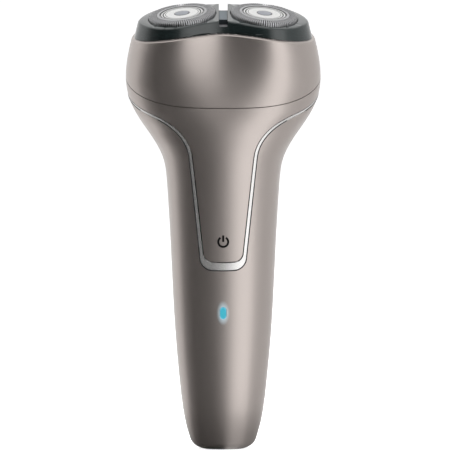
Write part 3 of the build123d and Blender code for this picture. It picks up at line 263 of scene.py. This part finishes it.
def eased(heights, values, height):
    """Value at a height on a smooth curve through the given values, with no swing between them."""
    steps = [b - a for a, b in zip(heights, heights[1:])]
    slopes = [(b - a) / step for a, b, step in zip(values, values[1:], steps)]
    tangents = [slopes[0]]
    for before, after in zip(slopes, slopes[1:]):
        tangents.append(2 * before * after / (before + after) if before * after > 0 else 0.0)
    tangents.append(slopes[-1])
    place = max(i for i in range(len(steps)) if heights[i] <= height or i == 0)
    step = steps[place]
    t = (height - heights[place]) / step
    rise = values[place + 1] - values[place]
    square = 3 * rise - step * (2 * tangents[place] + tangents[place + 1])
    cube = step * (tangents[place] + tangents[place + 1]) - 2 * rise
    return values[place] + t * step * tangents[place] + square * t**2 + cube * t**3


# The foot's edge is rounder than the fillet of its solid: height in mm and share of the width that is kept.
# The flat round the inlet stays as it is
FOOT_PROFILE = (
    (0.0, 0.79), (1.5, 0.885), (4.0, 0.930), (7.5, 0.968), (13.5, 0.995), (20.0, 1.0), (26.0, 1.0),
)
FOOT_FLAT = (6.5 * MM, 4.5 * MM)


def foot_drawn(point):
    """A point of the shell, drawn in towards the axis near the ground."""
    height = point.z / MM
    in_inlet = (point.x / FOOT_FLAT[0])**2 + ((point.y - AXIS_Y) / FOOT_FLAT[1])**2 < 1.0
    if in_inlet or height > FOOT_PROFILE[-1][0]:
        return point
    heights, shares = zip(*FOOT_PROFILE)
    share = eased(heights, shares, max(height, 0.0))
    return Vector((point.x * share, AXIS_Y + (point.y - AXIS_Y) * share, point.z))


def outline_point(turn, half_width, half_depth, waist):
    """Point of a cross section, as X to the right and Y to the back, at a turn from 0 to 4 quarters."""
    quarter = int(turn) % 4
    t = turn - int(turn)
    if quarter % 2:
        t = 1.0 - t
    across = 1 if quarter in (0, 3) else -1
    along = 1 if quarter in (0, 1) else -1
    near = 0.6 * FULLNESS
    middle = 0.3 + 0.6 * FULLNESS
    far = 0.7 + 0.3 * FULLNESS
    valley = half_depth - waist
    corners = ((half_width, 0.0), (half_width, near * half_depth), (far * half_width, middle * half_depth),
               (middle * half_width, far * half_depth + LOBE_SWELL * waist), (near * half_width, valley),
               (0.0, valley))
    weights = [
        comb(CURVE_ORDER, i) * t**i * (1 - t)**(CURVE_ORDER - i) for i in range(CURVE_ORDER + 1)
    ]
    x = sum(weight * corner[0] for weight, corner in zip(weights, corners))
    y = sum(weight * corner[1] for weight, corner in zip(weights, corners))
    return across * x, along * y


def body_ring(rise):
    """Points round the outer form of handle and head, at a share of its height."""
    columns = [list(values) for values in zip(*SECTIONS)]
    heights = columns[0]
    height = heights[-1] * rise
    half_width, half_depth, shift, tilt, waist = (eased(heights, values, height) for values in columns[1:])
    lean = radians(tilt)
    ring = []
    for turn in TURNS:
        x, y = outline_point(turn, half_width, half_depth, waist)
        on_form = Vector((x, y * cos(lean) - shift, height + y * sin(lean))) * MM
        ring.append(foot_drawn(on_form + Vector((0.0, AXIS_Y, 0.0))))
    return ring


# Outer wall of the head frame, in the head's own plane: level, half width and half depth at foot and top
FRAME_FOOT = (-5.5, 29.8, 15.6)
FRAME_TOP = (3.8, 27.6, 13.0)
RIM_WAIST = 2.7
HEAD_TILT = radians(12.5)
HEAD_MIDDLE = Vector(spins["motor_spin"]["pos_m"])


def frame_ring(rise):
    """Points round the head frame's outer wall, at a share of its height."""
    level, half_width, half_depth = (foot + rise * (top - foot) for foot, top in zip(FRAME_FOOT, FRAME_TOP))
    ring = []
    for turn in TURNS:
        x, y = outline_point(turn, half_width, half_depth, RIM_WAIST)
        back = y * cos(HEAD_TILT) - level * sin(HEAD_TILT)
        height = y * sin(HEAD_TILT) + level * cos(HEAD_TILT)
        ring.append(HEAD_MIDDLE + Vector((x, back, height)) * MM)
    return ring


def clean_form(rows, ring_at):
    """A fine, unbroken sheet on an outer form, which gives the pieces on it their even shading."""
    clear_selection()
    bpy.ops.mesh.primitive_grid_add(x_subdivisions=FORM_COLUMNS, y_subdivisions=rows, size=1.0)
    sheet = bpy.context.view_layer.objects.active
    for row in range(rows + 1):
        for column, place in enumerate(ring_at(row / rows)):
            sheet.data.vertices[row * (FORM_COLUMNS + 1) + column].co = place
    bpy.ops.object.mode_set(mode="EDIT")
    bpy.ops.mesh.select_all(action="SELECT")
    bpy.ops.mesh.remove_doubles(threshold=SAME_POINT)
    bpy.ops.mesh.normals_make_consistent(inside=False)
    bpy.ops.object.mode_set(mode="OBJECT")
    bpy.ops.object.shade_smooth()
    return sheet


# How near to the form a point lies, at which angle a facet lies along it, and between which angles of the
# other corners' own normals the form's normals fade out
ON_BODY = (0.4 * MM, radians(22.0), radians(10.0), radians(28.0))
ON_FRAME = (0.05 * MM, radians(70.0), radians(70.0), radians(75.0))


def shaded_by_form(skin, form, limits):
    """Gives the corners of a skin that lie along the form the form's own even normals."""
    reach, flat_along, along, off = limits
    mesh = skin.data
    points = [point.co for point in form.data.vertices]
    even = {}
    for point in mesh.vertices:
        found, place, _, index = form.closest_point_on_mesh(point.co)
        if found and (place - point.co).length < reach:
            corners = list(form.data.polygons[index].vertices)
            weights = interpolate.poly_3d_calc([points[corner] for corner in corners], place)
            total = Vector((0.0, 0.0, 0.0))
            for corner, weight in zip(corners, weights):
                total += form.data.vertices[corner].normal * weight
            even[point.index] = total.normalized()
    normals = [Vector(corner.vector) for corner in mesh.corner_normals]
    for face in mesh.polygons:
        lies_along = all(
            corner in even and face.normal.angle(even[corner], 0.0) < flat_along for corner in face.vertices
        )
        for loop, corner in zip(face.loop_indices, face.vertices):
            if corner in even:
                own = normals[loop]
                share = 1.0 if lies_along else (off - own.angle(even[corner], 0.0)) / (off - along)
                normals[loop] = own.lerp(even[corner], min(max(share, 0.0), 1.0)).normalized()
    mesh.normals_split_custom_set(normals)


# Facets that meet below these angles are shaded as one surface
SMOOTH_BELOW = 30.0
COIL_SMOOTH_BELOW = 70.0
# Weighting of the normals by the size of the faces, at its strongest
EVEN_WEIGHT = 100


def smooth_skin(node, angle):
    """A copy of a node with its facets joined and shaded smooth below an angle, in the node's place."""
    activate(nodes[node])
    bpy.ops.object.duplicate()
    skin = bpy.context.view_layer.objects.active
    skin.name = f"{node}_skin"
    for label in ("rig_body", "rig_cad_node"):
        if label in skin:
            del skin[label]
    skin.parent = None
    bpy.ops.object.mode_set(mode="EDIT")
    bpy.ops.mesh.select_all(action="SELECT")
    bpy.ops.mesh.remove_doubles(threshold=SAME_POINT)
    bpy.ops.object.mode_set(mode="OBJECT")
    if node == "handle_housing":
        for point in skin.data.vertices:
            point.co = foot_drawn(point.co.copy())
    bpy.ops.object.shade_smooth_by_angle(angle=radians(angle))
    even = skin.modifiers.new("even", "WEIGHTED_NORMAL")
    even.mode = "FACE_AREA"
    even.weight = EVEN_WEIGHT
    even.keep_sharp = True
    bpy.ops.object.modifier_apply(modifier="even")
    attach(skin, body_of[node])
    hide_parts(node)
    return skin


skins = {}
form = clean_form(FORM_ROWS, body_ring)
for node in ("handle_housing", "front_panel", "trim_band", "rear_collar", "hair_chamber", "light_window"):
    skins[node] = smooth_skin(node, SMOOTH_BELOW)
    shaded_by_form(skins[node], form, ON_BODY)
for node in ("centre_latch", "guard_left", "guard_right", "guard_cap_left", "guard_cap_right",
             "guard_button_left", "guard_button_right"):
    skins[node] = smooth_skin(node, SMOOTH_BELOW)
frame_wall = clean_form(WALL_ROWS, frame_ring)
skins["head_frame"] = smooth_skin("head_frame", SMOOTH_BELOW)
shaded_by_form(skins["head_frame"], frame_wall, ON_FRAME)
activate(frame_wall)
bpy.ops.object.delete()

# Painted shade in the groove between the trim and the housing: a thin dark cord that is sunk into both
JOINT_RADIUS = 0.25 * MM
JOINT_SINK = 0.13 * MM
JOINT_REACH = 0.2 * MM


def beside_housing(point):
    """True for a point of the trim on the outer form and next to the housing."""
    housing = skins["handle_housing"].closest_point_on_mesh(point)
    outside = form.closest_point_on_mesh(point)
    return (housing[1] - point).length < JOINT_REACH and (outside[1] - point).length < JOINT_REACH


activate(skins["trim_band"])
bpy.ops.object.duplicate()
trim_joint_shade = bpy.context.view_layer.objects.active
trim_joint_shade.name = "trim_joint_shade"
for label in [label for label in trim_joint_shade.keys() if label.startswith("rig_")]:
    del trim_joint_shade[label]
trim_joint_shade.parent = None
beside = [beside_housing(point.co) for point in trim_joint_shade.data.vertices]
for face in trim_joint_shade.data.polygons:
    face.select = False
for edge in trim_joint_shade.data.edges:
    edge.select = False
for point in trim_joint_shade.data.vertices:
    point.select = not beside[point.index]
bpy.ops.object.mode_set(mode="EDIT")
bpy.ops.mesh.delete(type="VERT")
bpy.ops.mesh.select_all(action="SELECT")
bpy.ops.mesh.delete(type="ONLY_FACE")
bpy.ops.object.mode_set(mode="OBJECT")
for point in trim_joint_shade.data.vertices:
    point.co -= Vector((point.co.x, point.co.y - AXIS_Y, 0.0)).normalized() * JOINT_SINK
bpy.ops.object.convert(target="CURVE")
trim_joint_shade.data.bevel_depth = JOINT_RADIUS
trim_joint_shade.data.bevel_resolution = 1
bpy.ops.object.convert(target="MESH")
trim_joint_shade = bpy.context.view_layer.objects.active
bpy.ops.object.shade_smooth()
# The cord is dark as painted shade of the groove
dressed(trim_joint_shade, FINISHES["part_black"])
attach(trim_joint_shade, "handle")

activate(form)
bpy.ops.object.delete()


def ring_line_group():
    """A ring round an axis, where shade is painted: one on the line, zero away from it."""
    group = bpy.data.node_groups.new("ring_line", "ShaderNodeTree")
    for label, kind in (("Vector", "NodeSocketVector"), ("Radius", "NodeSocketFloat"),
                        ("Half width", "NodeSocketFloat")):
        group.interface.new_socket(label, in_out="INPUT", socket_type=kind)
    group.interface.new_socket("Mask", in_out="OUTPUT", socket_type="NodeSocketFloat")
    entry = group.nodes.new("NodeGroupInput")
    leave = group.nodes.new("NodeGroupOutput")
    flat = group.nodes.new("ShaderNodeVectorMath")
    flat.operation = "MULTIPLY"
    flat.inputs[1].default_value = (1.0 / MM, 1.0 / MM, 0.0)
    linked(group, entry.outputs["Vector"], flat.inputs[0])
    radius = group.nodes.new("ShaderNodeVectorMath")
    radius.operation = "LENGTH"
    linked(group, flat.outputs["Vector"], radius.inputs[0])
    away = group.nodes.new("ShaderNodeMath")
    away.operation = "SUBTRACT"
    linked(group, radius.outputs["Value"], away.inputs[0])
    linked(group, entry.outputs["Radius"], away.inputs[1])
    distance = group.nodes.new("ShaderNodeMath")
    distance.operation = "ABSOLUTE"
    linked(group, away.outputs["Value"], distance.inputs[0])
    line = group.nodes.new("ShaderNodeMapRange")
    line.interpolation_type = "SMOOTHSTEP"
    line.inputs["From Min"].default_value = 0.0
    line.inputs["To Min"].default_value = 1.0
    line.inputs["To Max"].default_value = 0.0
    linked(group, distance.outputs["Value"], line.inputs["Value"])
    linked(group, entry.outputs["Half width"], line.inputs["From Max"])
    linked(group, line.outputs["Result"], leave.inputs["Mask"])
    return group


RING_LINE = ring_line_group()
# Rings of painted shade where a cap's grooves and the gaps round cap and button lie: radius and half width in
# mm
CAP_LINES = ((7.05, 0.22), (6.3, 0.42), (5.5, 0.2))
BUTTON_LINES = ((2.45, 0.35),)
RING_SHADE = (0.03, 0.032, 0.035, 1.0)


def head_axis(side):
    """Middle of a shaving head's top and the axis that its cutter turns on."""
    spin = spins[f"cutter_{side}_spin"]
    return Vector(spin["pos_m"]), Vector(spin["axis"]).normalized()


def ring_shaded(node, side, finish, lines):
    """Gives a round piece a copy of its finish with dark rings of painted shade where its grooves and gaps
    lie.
    """
    middle, axis = head_axis(side)
    own = finish.copy()
    own.name = f"{finish.name}_{side}"
    tree = own.node_tree
    shader = shader_of(own)
    plain = shader.inputs["Base Color"].links[0].from_socket
    place = tree.nodes.new("ShaderNodeTexCoord")
    centred = tree.nodes.new("ShaderNodeMapping")
    centred.vector_type = "TEXTURE"
    centred.inputs["Location"].default_value = middle
    centred.inputs["Rotation"].default_value = axis.to_track_quat("Z", "Y").to_euler()
    linked(tree, place.outputs["Object"], centred.inputs["Vector"])
    for radius, half_width in lines:
        line = tree.nodes.new("ShaderNodeGroup")
        line.node_tree = RING_LINE
        line.inputs["Radius"].default_value = radius
        line.inputs["Half width"].default_value = half_width
        linked(tree, centred.outputs["Vector"], line.inputs["Vector"])
        mixed = tree.nodes.new("ShaderNodeMix")
        mixed.data_type = "RGBA"
        # Each ring mixes in the colour of the painted shade
        mixed.inputs["B"].default_value = RING_SHADE
        linked(tree, line.outputs["Mask"], mixed.inputs["Factor"])
        linked(tree, plain, mixed.inputs["A"])
        plain = mixed.outputs["Result"]
    linked(tree, plain, shader.inputs["Base Color"])
    dressed(skins[node], own)


# A guard's outside: how far its faces turn to the axis or away from it, and where they lie; its other faces
# get painted shade
GUARD_TOP_FACING = 0.3
GUARD_TOP_LEVEL = -1.0 * MM
GUARD_SIDE_FACING = 0.5
GUARD_SIDE_RADIUS = 11.0 * MM

# Nearly black painted shade for a guard's slot walls and underside, which are the same steel
guard_painted_shade = grained("guard_painted_shade", (0.016, 0.017, 0.018), 0.55)


def shade_painted_inside(side):
    """Paints shade on the faces of a guard that aren't on its outside: the walls of its slots and its
    underside.
    """
    middle, axis = head_axis(side)
    mesh = skins[f"guard_{side}"].data
    mesh.materials.append(guard_painted_shade)
    for face in mesh.polygons:
        arm = face.center - middle
        rise = arm.dot(axis)
        out = arm - rise * axis
        on_top = face.normal.dot(axis) > GUARD_TOP_FACING and rise > GUARD_TOP_LEVEL
        outward = face.normal.dot(out.normalized())
        on_side = outward > GUARD_SIDE_FACING and out.length > GUARD_SIDE_RADIUS
        face.material_index = 0 if on_top or on_side else 1


for side in ("left", "right"):
    ring_shaded(f"guard_cap_{side}", side, FINISHES["cap_bright"], CAP_LINES)
    ring_shaded(f"guard_button_{side}", side, FINISHES["button_grey"], BUTTON_LINES)
    shade_painted_inside(side)

# The frame's slot for the latch has a dull floor
NOTCH_HALF_WIDTH = 1.6 * MM
NOTCH_FACING = 0.6
facing = Vector((0.0, -sin(HEAD_TILT), cos(HEAD_TILT)))
skins["head_frame"].data.materials.append(FINISHES["inner_plastic"])
for face in skins["head_frame"].data.polygons:
    upward = face.normal.dot(facing) > NOTCH_FACING and abs(face.center.x) < NOTCH_HALF_WIDTH
    face.material_index = 1 if upward else 0

# Charging light: its lens glows, and the paint round it takes some of the glow.
# Each stop is a distance from the light's middle, in half sizes of the light, and a colour
LIGHT_CENTRE = (0.0, AXIS_Y - 13.2 * MM, 46.4 * MM)
LIGHT_HALF_SIZE = (1.05 * MM, 5.0 * MM, 2.0 * MM)
LENS_GLOW = ((0.0, (0.0, 0.10, 0.12)), (0.75, (0.0, 0.07, 0.13)), (1.0, (0.10, 0.20, 0.27)))
PAINT_GLOW = ((1.0, (0.25, 0.37, 0.44)), (1.5, (0.13, 0.19, 0.22)), (2.1, (0.0, 0.0, 0.0)))
GLOW_REACH = 4.0


def glowing(node, finish, stops):
    """Gives a piece a copy of its finish that glows by its distance from the light's middle."""
    own = finish.copy()
    own.name = f"{node}_glow"
    tree = own.node_tree
    shader = shader_of(own)
    place = tree.nodes.new("ShaderNodeTexCoord")
    away = tree.nodes.new("ShaderNodeVectorMath")
    away.operation = "SUBTRACT"
    away.inputs[1].default_value = LIGHT_CENTRE
    linked(tree, place.outputs["Object"], away.inputs[0])
    sized = tree.nodes.new("ShaderNodeVectorMath")
    sized.operation = "DIVIDE"
    sized.inputs[1].default_value = [GLOW_REACH * size for size in LIGHT_HALF_SIZE]
    linked(tree, away.outputs["Vector"], sized.inputs[0])
    distance = tree.nodes.new("ShaderNodeVectorMath")
    distance.operation = "LENGTH"
    linked(tree, sized.outputs["Vector"], distance.inputs[0])
    glow = tree.nodes.new("ShaderNodeValToRGB")
    elements = glow.color_ramp.elements
    for number, (reach, colour) in enumerate(stops):
        stop = elements[number] if number < 2 else elements.new(reach / GLOW_REACH)
        stop.position = reach / GLOW_REACH
        stop.color = (*colour, 1.0)
    linked(tree, distance.outputs["Value"], glow.inputs["Fac"])
    linked(tree, glow.outputs["Color"], shader.inputs["Emission Color"])
    shader.inputs["Emission Strength"].default_value = 1.0
    dressed(skins[node], own)


glowing("light_window", FINISHES["light_lens"], LENS_GLOW)
glowing("handle_housing", FINISHES["body_paint"], PAINT_GLOW)

# Spindle springs, which the travel of each shaving head presses flatter: each gets a smooth skin with a mesh
# of its own
for side in ("left", "right"):
    spring = smooth_skin(f"spindle_spring_{side}", COIL_SMOOTH_BELOW)
    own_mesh(spring)

# Printed power sign on the panel's lower end
SIGN_HEIGHT = 70.3 * MM
SIGN_RADIUS = 2.0 * MM
SIGN_STROKE = 0.70 * MM
SIGN_GAP = 32.0
SIGN_BAR = 2.2 * MM
SIGN_LIFT = 0.015 * MM
SIGN_INK = 0.02 * MM
SIGN_FRONT = -30.0 * MM
SIGN_POINTS = 90
BAR_CUTS = 6

sign_ink = grained("sign_ink", (0.004, 0.004, 0.004), 0.7)
shader_of(sign_ink).inputs["Specular IOR Level"].default_value = 0.1


def faces_deleted(piece, unwanted):
    """Deletes the faces whose middles the test names."""
    for face in piece.data.polygons:
        face.select = unwanted(face.center)
    bpy.ops.object.mode_set(mode="EDIT")
    bpy.ops.mesh.delete(type="FACE")
    bpy.ops.object.mode_set(mode="OBJECT")


def in_gap(middle):
    """True beside the bar at the top of the ring."""
    across = abs(middle.x)
    upward = middle.z - SIGN_HEIGHT
    return upward > 0.0 and across < upward * tan(radians(SIGN_GAP))


clear_selection()
bpy.ops.mesh.primitive_circle_add(
    vertices=SIGN_POINTS, radius=SIGN_RADIUS - SIGN_STROKE, location=(0.0, SIGN_FRONT, SIGN_HEIGHT),
    rotation=(radians(90.0), 0.0, 0.0),
)
power_ring = bpy.context.view_layer.objects.active
power_ring.name = "power_sign"
bpy.ops.object.transform_apply(location=True, rotation=True, scale=True)
bpy.ops.object.mode_set(mode="EDIT")
bpy.ops.mesh.extrude_edges_move()
outward = SIGN_RADIUS / (SIGN_RADIUS - SIGN_STROKE)
bpy.ops.transform.resize(value=(outward, 1.0, outward), center_override=(0.0, SIGN_FRONT, SIGN_HEIGHT))
bpy.ops.object.mode_set(mode="OBJECT")
faces_deleted(power_ring, in_gap)
clear_selection()
bpy.ops.mesh.primitive_plane_add(
    size=1.0, location=(0.0, SIGN_FRONT, SIGN_HEIGHT + SIGN_BAR / 2), rotation=(radians(90.0), 0.0, 0.0)
)
power_bar = bpy.context.view_layer.objects.active
power_bar.scale = (SIGN_STROKE, SIGN_BAR, 1.0)
bpy.ops.object.transform_apply(location=True, rotation=True, scale=True)
bpy.ops.object.mode_set(mode="EDIT")
bpy.ops.mesh.select_all(action="SELECT")
bpy.ops.mesh.subdivide(number_cuts=BAR_CUTS)
bpy.ops.object.mode_set(mode="OBJECT")
power_ring.select_set(True)
bpy.context.view_layer.objects.active = power_ring
bpy.ops.object.join()
wrap = power_ring.modifiers.new("wrap", "SHRINKWRAP")
wrap.target = nodes["front_panel"]
wrap.wrap_method = "PROJECT"
wrap.use_project_x = False
wrap.use_project_y = True
wrap.use_project_z = False
wrap.use_positive_direction = True
wrap.use_negative_direction = False
wrap.offset = SIGN_LIFT
bpy.ops.object.modifier_apply(modifier="wrap")
ink = power_ring.modifiers.new("ink", "SOLIDIFY")
ink.thickness = SIGN_INK
ink.offset = 0.0
bpy.ops.object.modifier_apply(modifier="ink")
dressed(power_ring, sign_ink)
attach(power_ring, "panel")

# Stage: white floor and world. What a glossy surface sees turns from dark in front to bright on the right
REFLECTED = (
    # azimuth from the camera to the right in degrees, brightness
    (-180.0, 0.95), (-109.0, 0.95), (-84.0, 0.24), (-59.0, 0.05), (-16.0, 0.05), (0.0, 0.22), (12.0, 1.05),
    (22.0, 1.55), (44.0, 1.50), (60.0, 0.80), (82.0, 0.62), (130.0, 0.72), (180.0, 0.95),
)
BRIGHTEST = 1.6
OVERHEAD = 0.95
# How steeply a direction rises, from where the ceiling shows to where it shows alone
CEILING_FADE = (0.3, 0.75)


def studio_reflection_group():
    """Brightness that a glossy surface sees in a direction: bands round the object, and a pale ceiling."""
    group = bpy.data.node_groups.new("studio_reflection", "ShaderNodeTree")
    group.interface.new_socket("Direction", in_out="INPUT", socket_type="NodeSocketVector")
    group.interface.new_socket("Brightness", in_out="OUTPUT", socket_type="NodeSocketFloat")
    entry = group.nodes.new("NodeGroupInput")
    leave = group.nodes.new("NodeGroupOutput")
    split = group.nodes.new("ShaderNodeSeparateXYZ")
    linked(group, entry.outputs["Direction"], split.inputs["Vector"])
    front = group.nodes.new("ShaderNodeMath")
    front.operation = "MULTIPLY"
    front.inputs[1].default_value = -1.0
    linked(group, split.outputs["Y"], front.inputs[0])
    azimuth = group.nodes.new("ShaderNodeMath")
    azimuth.operation = "ARCTAN2"
    linked(group, split.outputs["X"], azimuth.inputs[0])
    linked(group, front.outputs["Value"], azimuth.inputs[1])
    turn = group.nodes.new("ShaderNodeMapRange")
    turn.inputs["From Min"].default_value = radians(-180.0)
    turn.inputs["From Max"].default_value = radians(180.0)
    linked(group, azimuth.outputs["Value"], turn.inputs["Value"])
    bands = group.nodes.new("ShaderNodeValToRGB")
    stops = bands.color_ramp.elements
    for number, (degrees, brightness) in enumerate(REFLECTED):
        position = (degrees + 180.0) / 360.0
        stop = stops[number] if number < 2 else stops.new(position)
        stop.position = position
        stop.color = (brightness / BRIGHTEST,) * 3 + (1.0,)
    linked(group, turn.outputs["Result"], bands.inputs["Fac"])
    level = group.nodes.new("ShaderNodeMath")
    level.operation = "MULTIPLY"
    level.inputs[1].default_value = BRIGHTEST
    linked(group, bands.outputs["Color"], level.inputs[0])
    above = group.nodes.new("ShaderNodeMapRange")
    above.interpolation_type = "SMOOTHSTEP"
    above.inputs["From Min"].default_value = CEILING_FADE[0]
    above.inputs["From Max"].default_value = CEILING_FADE[1]
    linked(group, split.outputs["Z"], above.inputs["Value"])
    both = group.nodes.new("ShaderNodeMix")
    both.inputs["B"].default_value = OVERHEAD
    linked(group, above.outputs["Result"], both.inputs["Factor"])
    linked(group, level.outputs["Value"], both.inputs["A"])
    linked(group, both.outputs["Result"], leave.inputs["Brightness"])
    return group


REFLECTION = studio_reflection_group()


def seen_by_gloss(tree):
    """The light path, and a value of one for glossy and transmitted rays and zero for others."""
    path = tree.nodes.new("ShaderNodeLightPath")
    either = tree.nodes.new("ShaderNodeMath")
    either.operation = "MAXIMUM"
    linked(tree, path.outputs["Is Glossy Ray"], either.inputs[0])
    linked(tree, path.outputs["Is Transmission Ray"], either.inputs[1])
    return path, either.outputs["Value"]


# Floor: its glow to the camera, and how a gloss sees it, darker near the foot
FLOOR_SIZE = 6.0
FLOOR_GREY = (0.8, 0.8, 0.8, 1.0)
FLOOR_ROUGHNESS = 0.9
FLOOR_GLOW = 0.74
FLOOR_DARK = 0.3
FLOOR_FADE = (0.0, 0.085)
WHITE = (1.0, 1.0, 1.0, 1.0)

clear_selection()
bpy.ops.mesh.primitive_plane_add(size=FLOOR_SIZE, location=(0.0, 0.0, 0.0))
floor = bpy.context.view_layer.objects.active
floor.name = "studio_floor"
floor_white = new_material("floor_white")
tree = floor_white.node_tree
shader = shader_of(floor_white)
shader.inputs["Base Color"].default_value = FLOOR_GREY
shader.inputs["Roughness"].default_value = FLOOR_ROUGHNESS
shader.inputs["Emission Color"].default_value = WHITE
path, gloss = seen_by_gloss(tree)
glow = tree.nodes.new("ShaderNodeMath")
glow.operation = "MULTIPLY"
glow.inputs[1].default_value = FLOOR_GLOW
linked(tree, path.outputs["Is Camera Ray"], glow.inputs[0])
linked(tree, glow.outputs["Value"], shader.inputs["Emission Strength"])
spot = tree.nodes.new("ShaderNodeTexCoord")
mirrored = tree.nodes.new("ShaderNodeGroup")
mirrored.node_tree = REFLECTION
linked(tree, spot.outputs["Object"], mirrored.inputs["Direction"])
shine = tree.nodes.new("ShaderNodeEmission")
range_out = tree.nodes.new("ShaderNodeVectorMath")
range_out.operation = "LENGTH"
linked(tree, spot.outputs["Object"], range_out.inputs[0])
fade = tree.nodes.new("ShaderNodeMapRange")
fade.interpolation_type = "SMOOTHSTEP"
fade.inputs["From Min"].default_value = FLOOR_FADE[0]
fade.inputs["From Max"].default_value = FLOOR_FADE[1]
fade.inputs["To Min"].default_value = FLOOR_DARK
linked(tree, range_out.outputs["Value"], fade.inputs["Value"])
faded = tree.nodes.new("ShaderNodeMath")
faded.operation = "MULTIPLY"
linked(tree, mirrored.outputs["Brightness"], faded.inputs[0])
linked(tree, fade.outputs["Result"], faded.inputs[1])
linked(tree, faded.outputs["Value"], shine.inputs["Strength"])
choice = tree.nodes.new("ShaderNodeMixShader")
linked(tree, gloss, choice.inputs["Fac"])
linked(tree, shader.outputs["BSDF"], choice.inputs[1])
linked(tree, shine.outputs["Emission"], choice.inputs[2])
surface = next(node for node in tree.nodes if node.type == "OUTPUT_MATERIAL")
linked(tree, choice.outputs["Shader"], surface.inputs["Surface"])
dressed(floor, floor_white)

# World: white to the camera, the studio's bands to a gloss, and an even light to all else
AMBIENT = 0.35

world = bpy.data.worlds.new("studio")
bpy.context.scene.world = world
world.use_nodes = True
sky = world.node_tree
sky.nodes.clear()
path, gloss = seen_by_gloss(sky)
spot = sky.nodes.new("ShaderNodeTexCoord")
mirrored = sky.nodes.new("ShaderNodeGroup")
mirrored.node_tree = REFLECTION
linked(sky, spot.outputs["Generated"], mirrored.inputs["Direction"])
shine = sky.nodes.new("ShaderNodeBackground")
linked(sky, mirrored.outputs["Brightness"], shine.inputs["Strength"])
ambient = sky.nodes.new("ShaderNodeBackground")
ambient.inputs["Strength"].default_value = AMBIENT
backdrop = sky.nodes.new("ShaderNodeBackground")
for light in (shine, ambient, backdrop):
    light.inputs["Color"].default_value = WHITE
first = sky.nodes.new("ShaderNodeMixShader")
linked(sky, gloss, first.inputs["Fac"])
linked(sky, ambient.outputs["Background"], first.inputs[1])
linked(sky, shine.outputs["Background"], first.inputs[2])
second = sky.nodes.new("ShaderNodeMixShader")
linked(sky, path.outputs["Is Camera Ray"], second.inputs["Fac"])
linked(sky, first.outputs["Shader"], second.inputs[1])
linked(sky, backdrop.outputs["Background"], second.inputs[2])
result = sky.nodes.new("ShaderNodeOutputWorld")
linked(sky, second.outputs["Shader"], result.inputs["Surface"])


def softbox(name, place, aim, width, height, power):
    """A rectangular area lamp that faces a point."""
    lamp_data = bpy.data.lights.new(name, "AREA")
    lamp_data.shape = "RECTANGLE"
    lamp_data.size = width
    lamp_data.size_y = height
    lamp_data.energy = power
    lamp_object = bpy.data.objects.new(name, lamp_data)
    bpy.context.scene.collection.objects.link(lamp_object)
    lamp_object.location = place
    lamp_object.rotation_euler = (Vector(aim) - Vector(place)).to_track_quat("-Z", "Y").to_euler()
    lamp_object.visible_glossy = False


MIDDLE = (0.0, 0.0, 0.08)
softbox("key_right", (0.62, -0.42, 0.22), MIDDLE, 0.22, 0.7, 6.0)
softbox("rim_left", (-0.55, 0.30, 0.15), MIDDLE, 0.15, 0.6, 3.0)
softbox("top", (0.0, 0.15, 0.8), MIDDLE, 0.5, 0.4, 5.0)

camera_data = bpy.data.cameras.new("camera")
camera_data.sensor_width = SENSOR
camera_data.lens = SENSOR * VIEW_DISTANCE / VIEW_WIDTH
camera = bpy.data.objects.new("camera", camera_data)
bpy.context.scene.collection.objects.link(camera)
lift = radians(VIEW_TILT)
camera.location = Vector(VIEW_AIM) + VIEW_DISTANCE * Vector((0.0, -cos(lift), sin(lift)))
camera.rotation_euler = (radians(90.0) - lift, 0.0, 0.0)
bpy.context.scene.camera = camera
bpy.context.scene.view_settings.view_transform = "Standard"
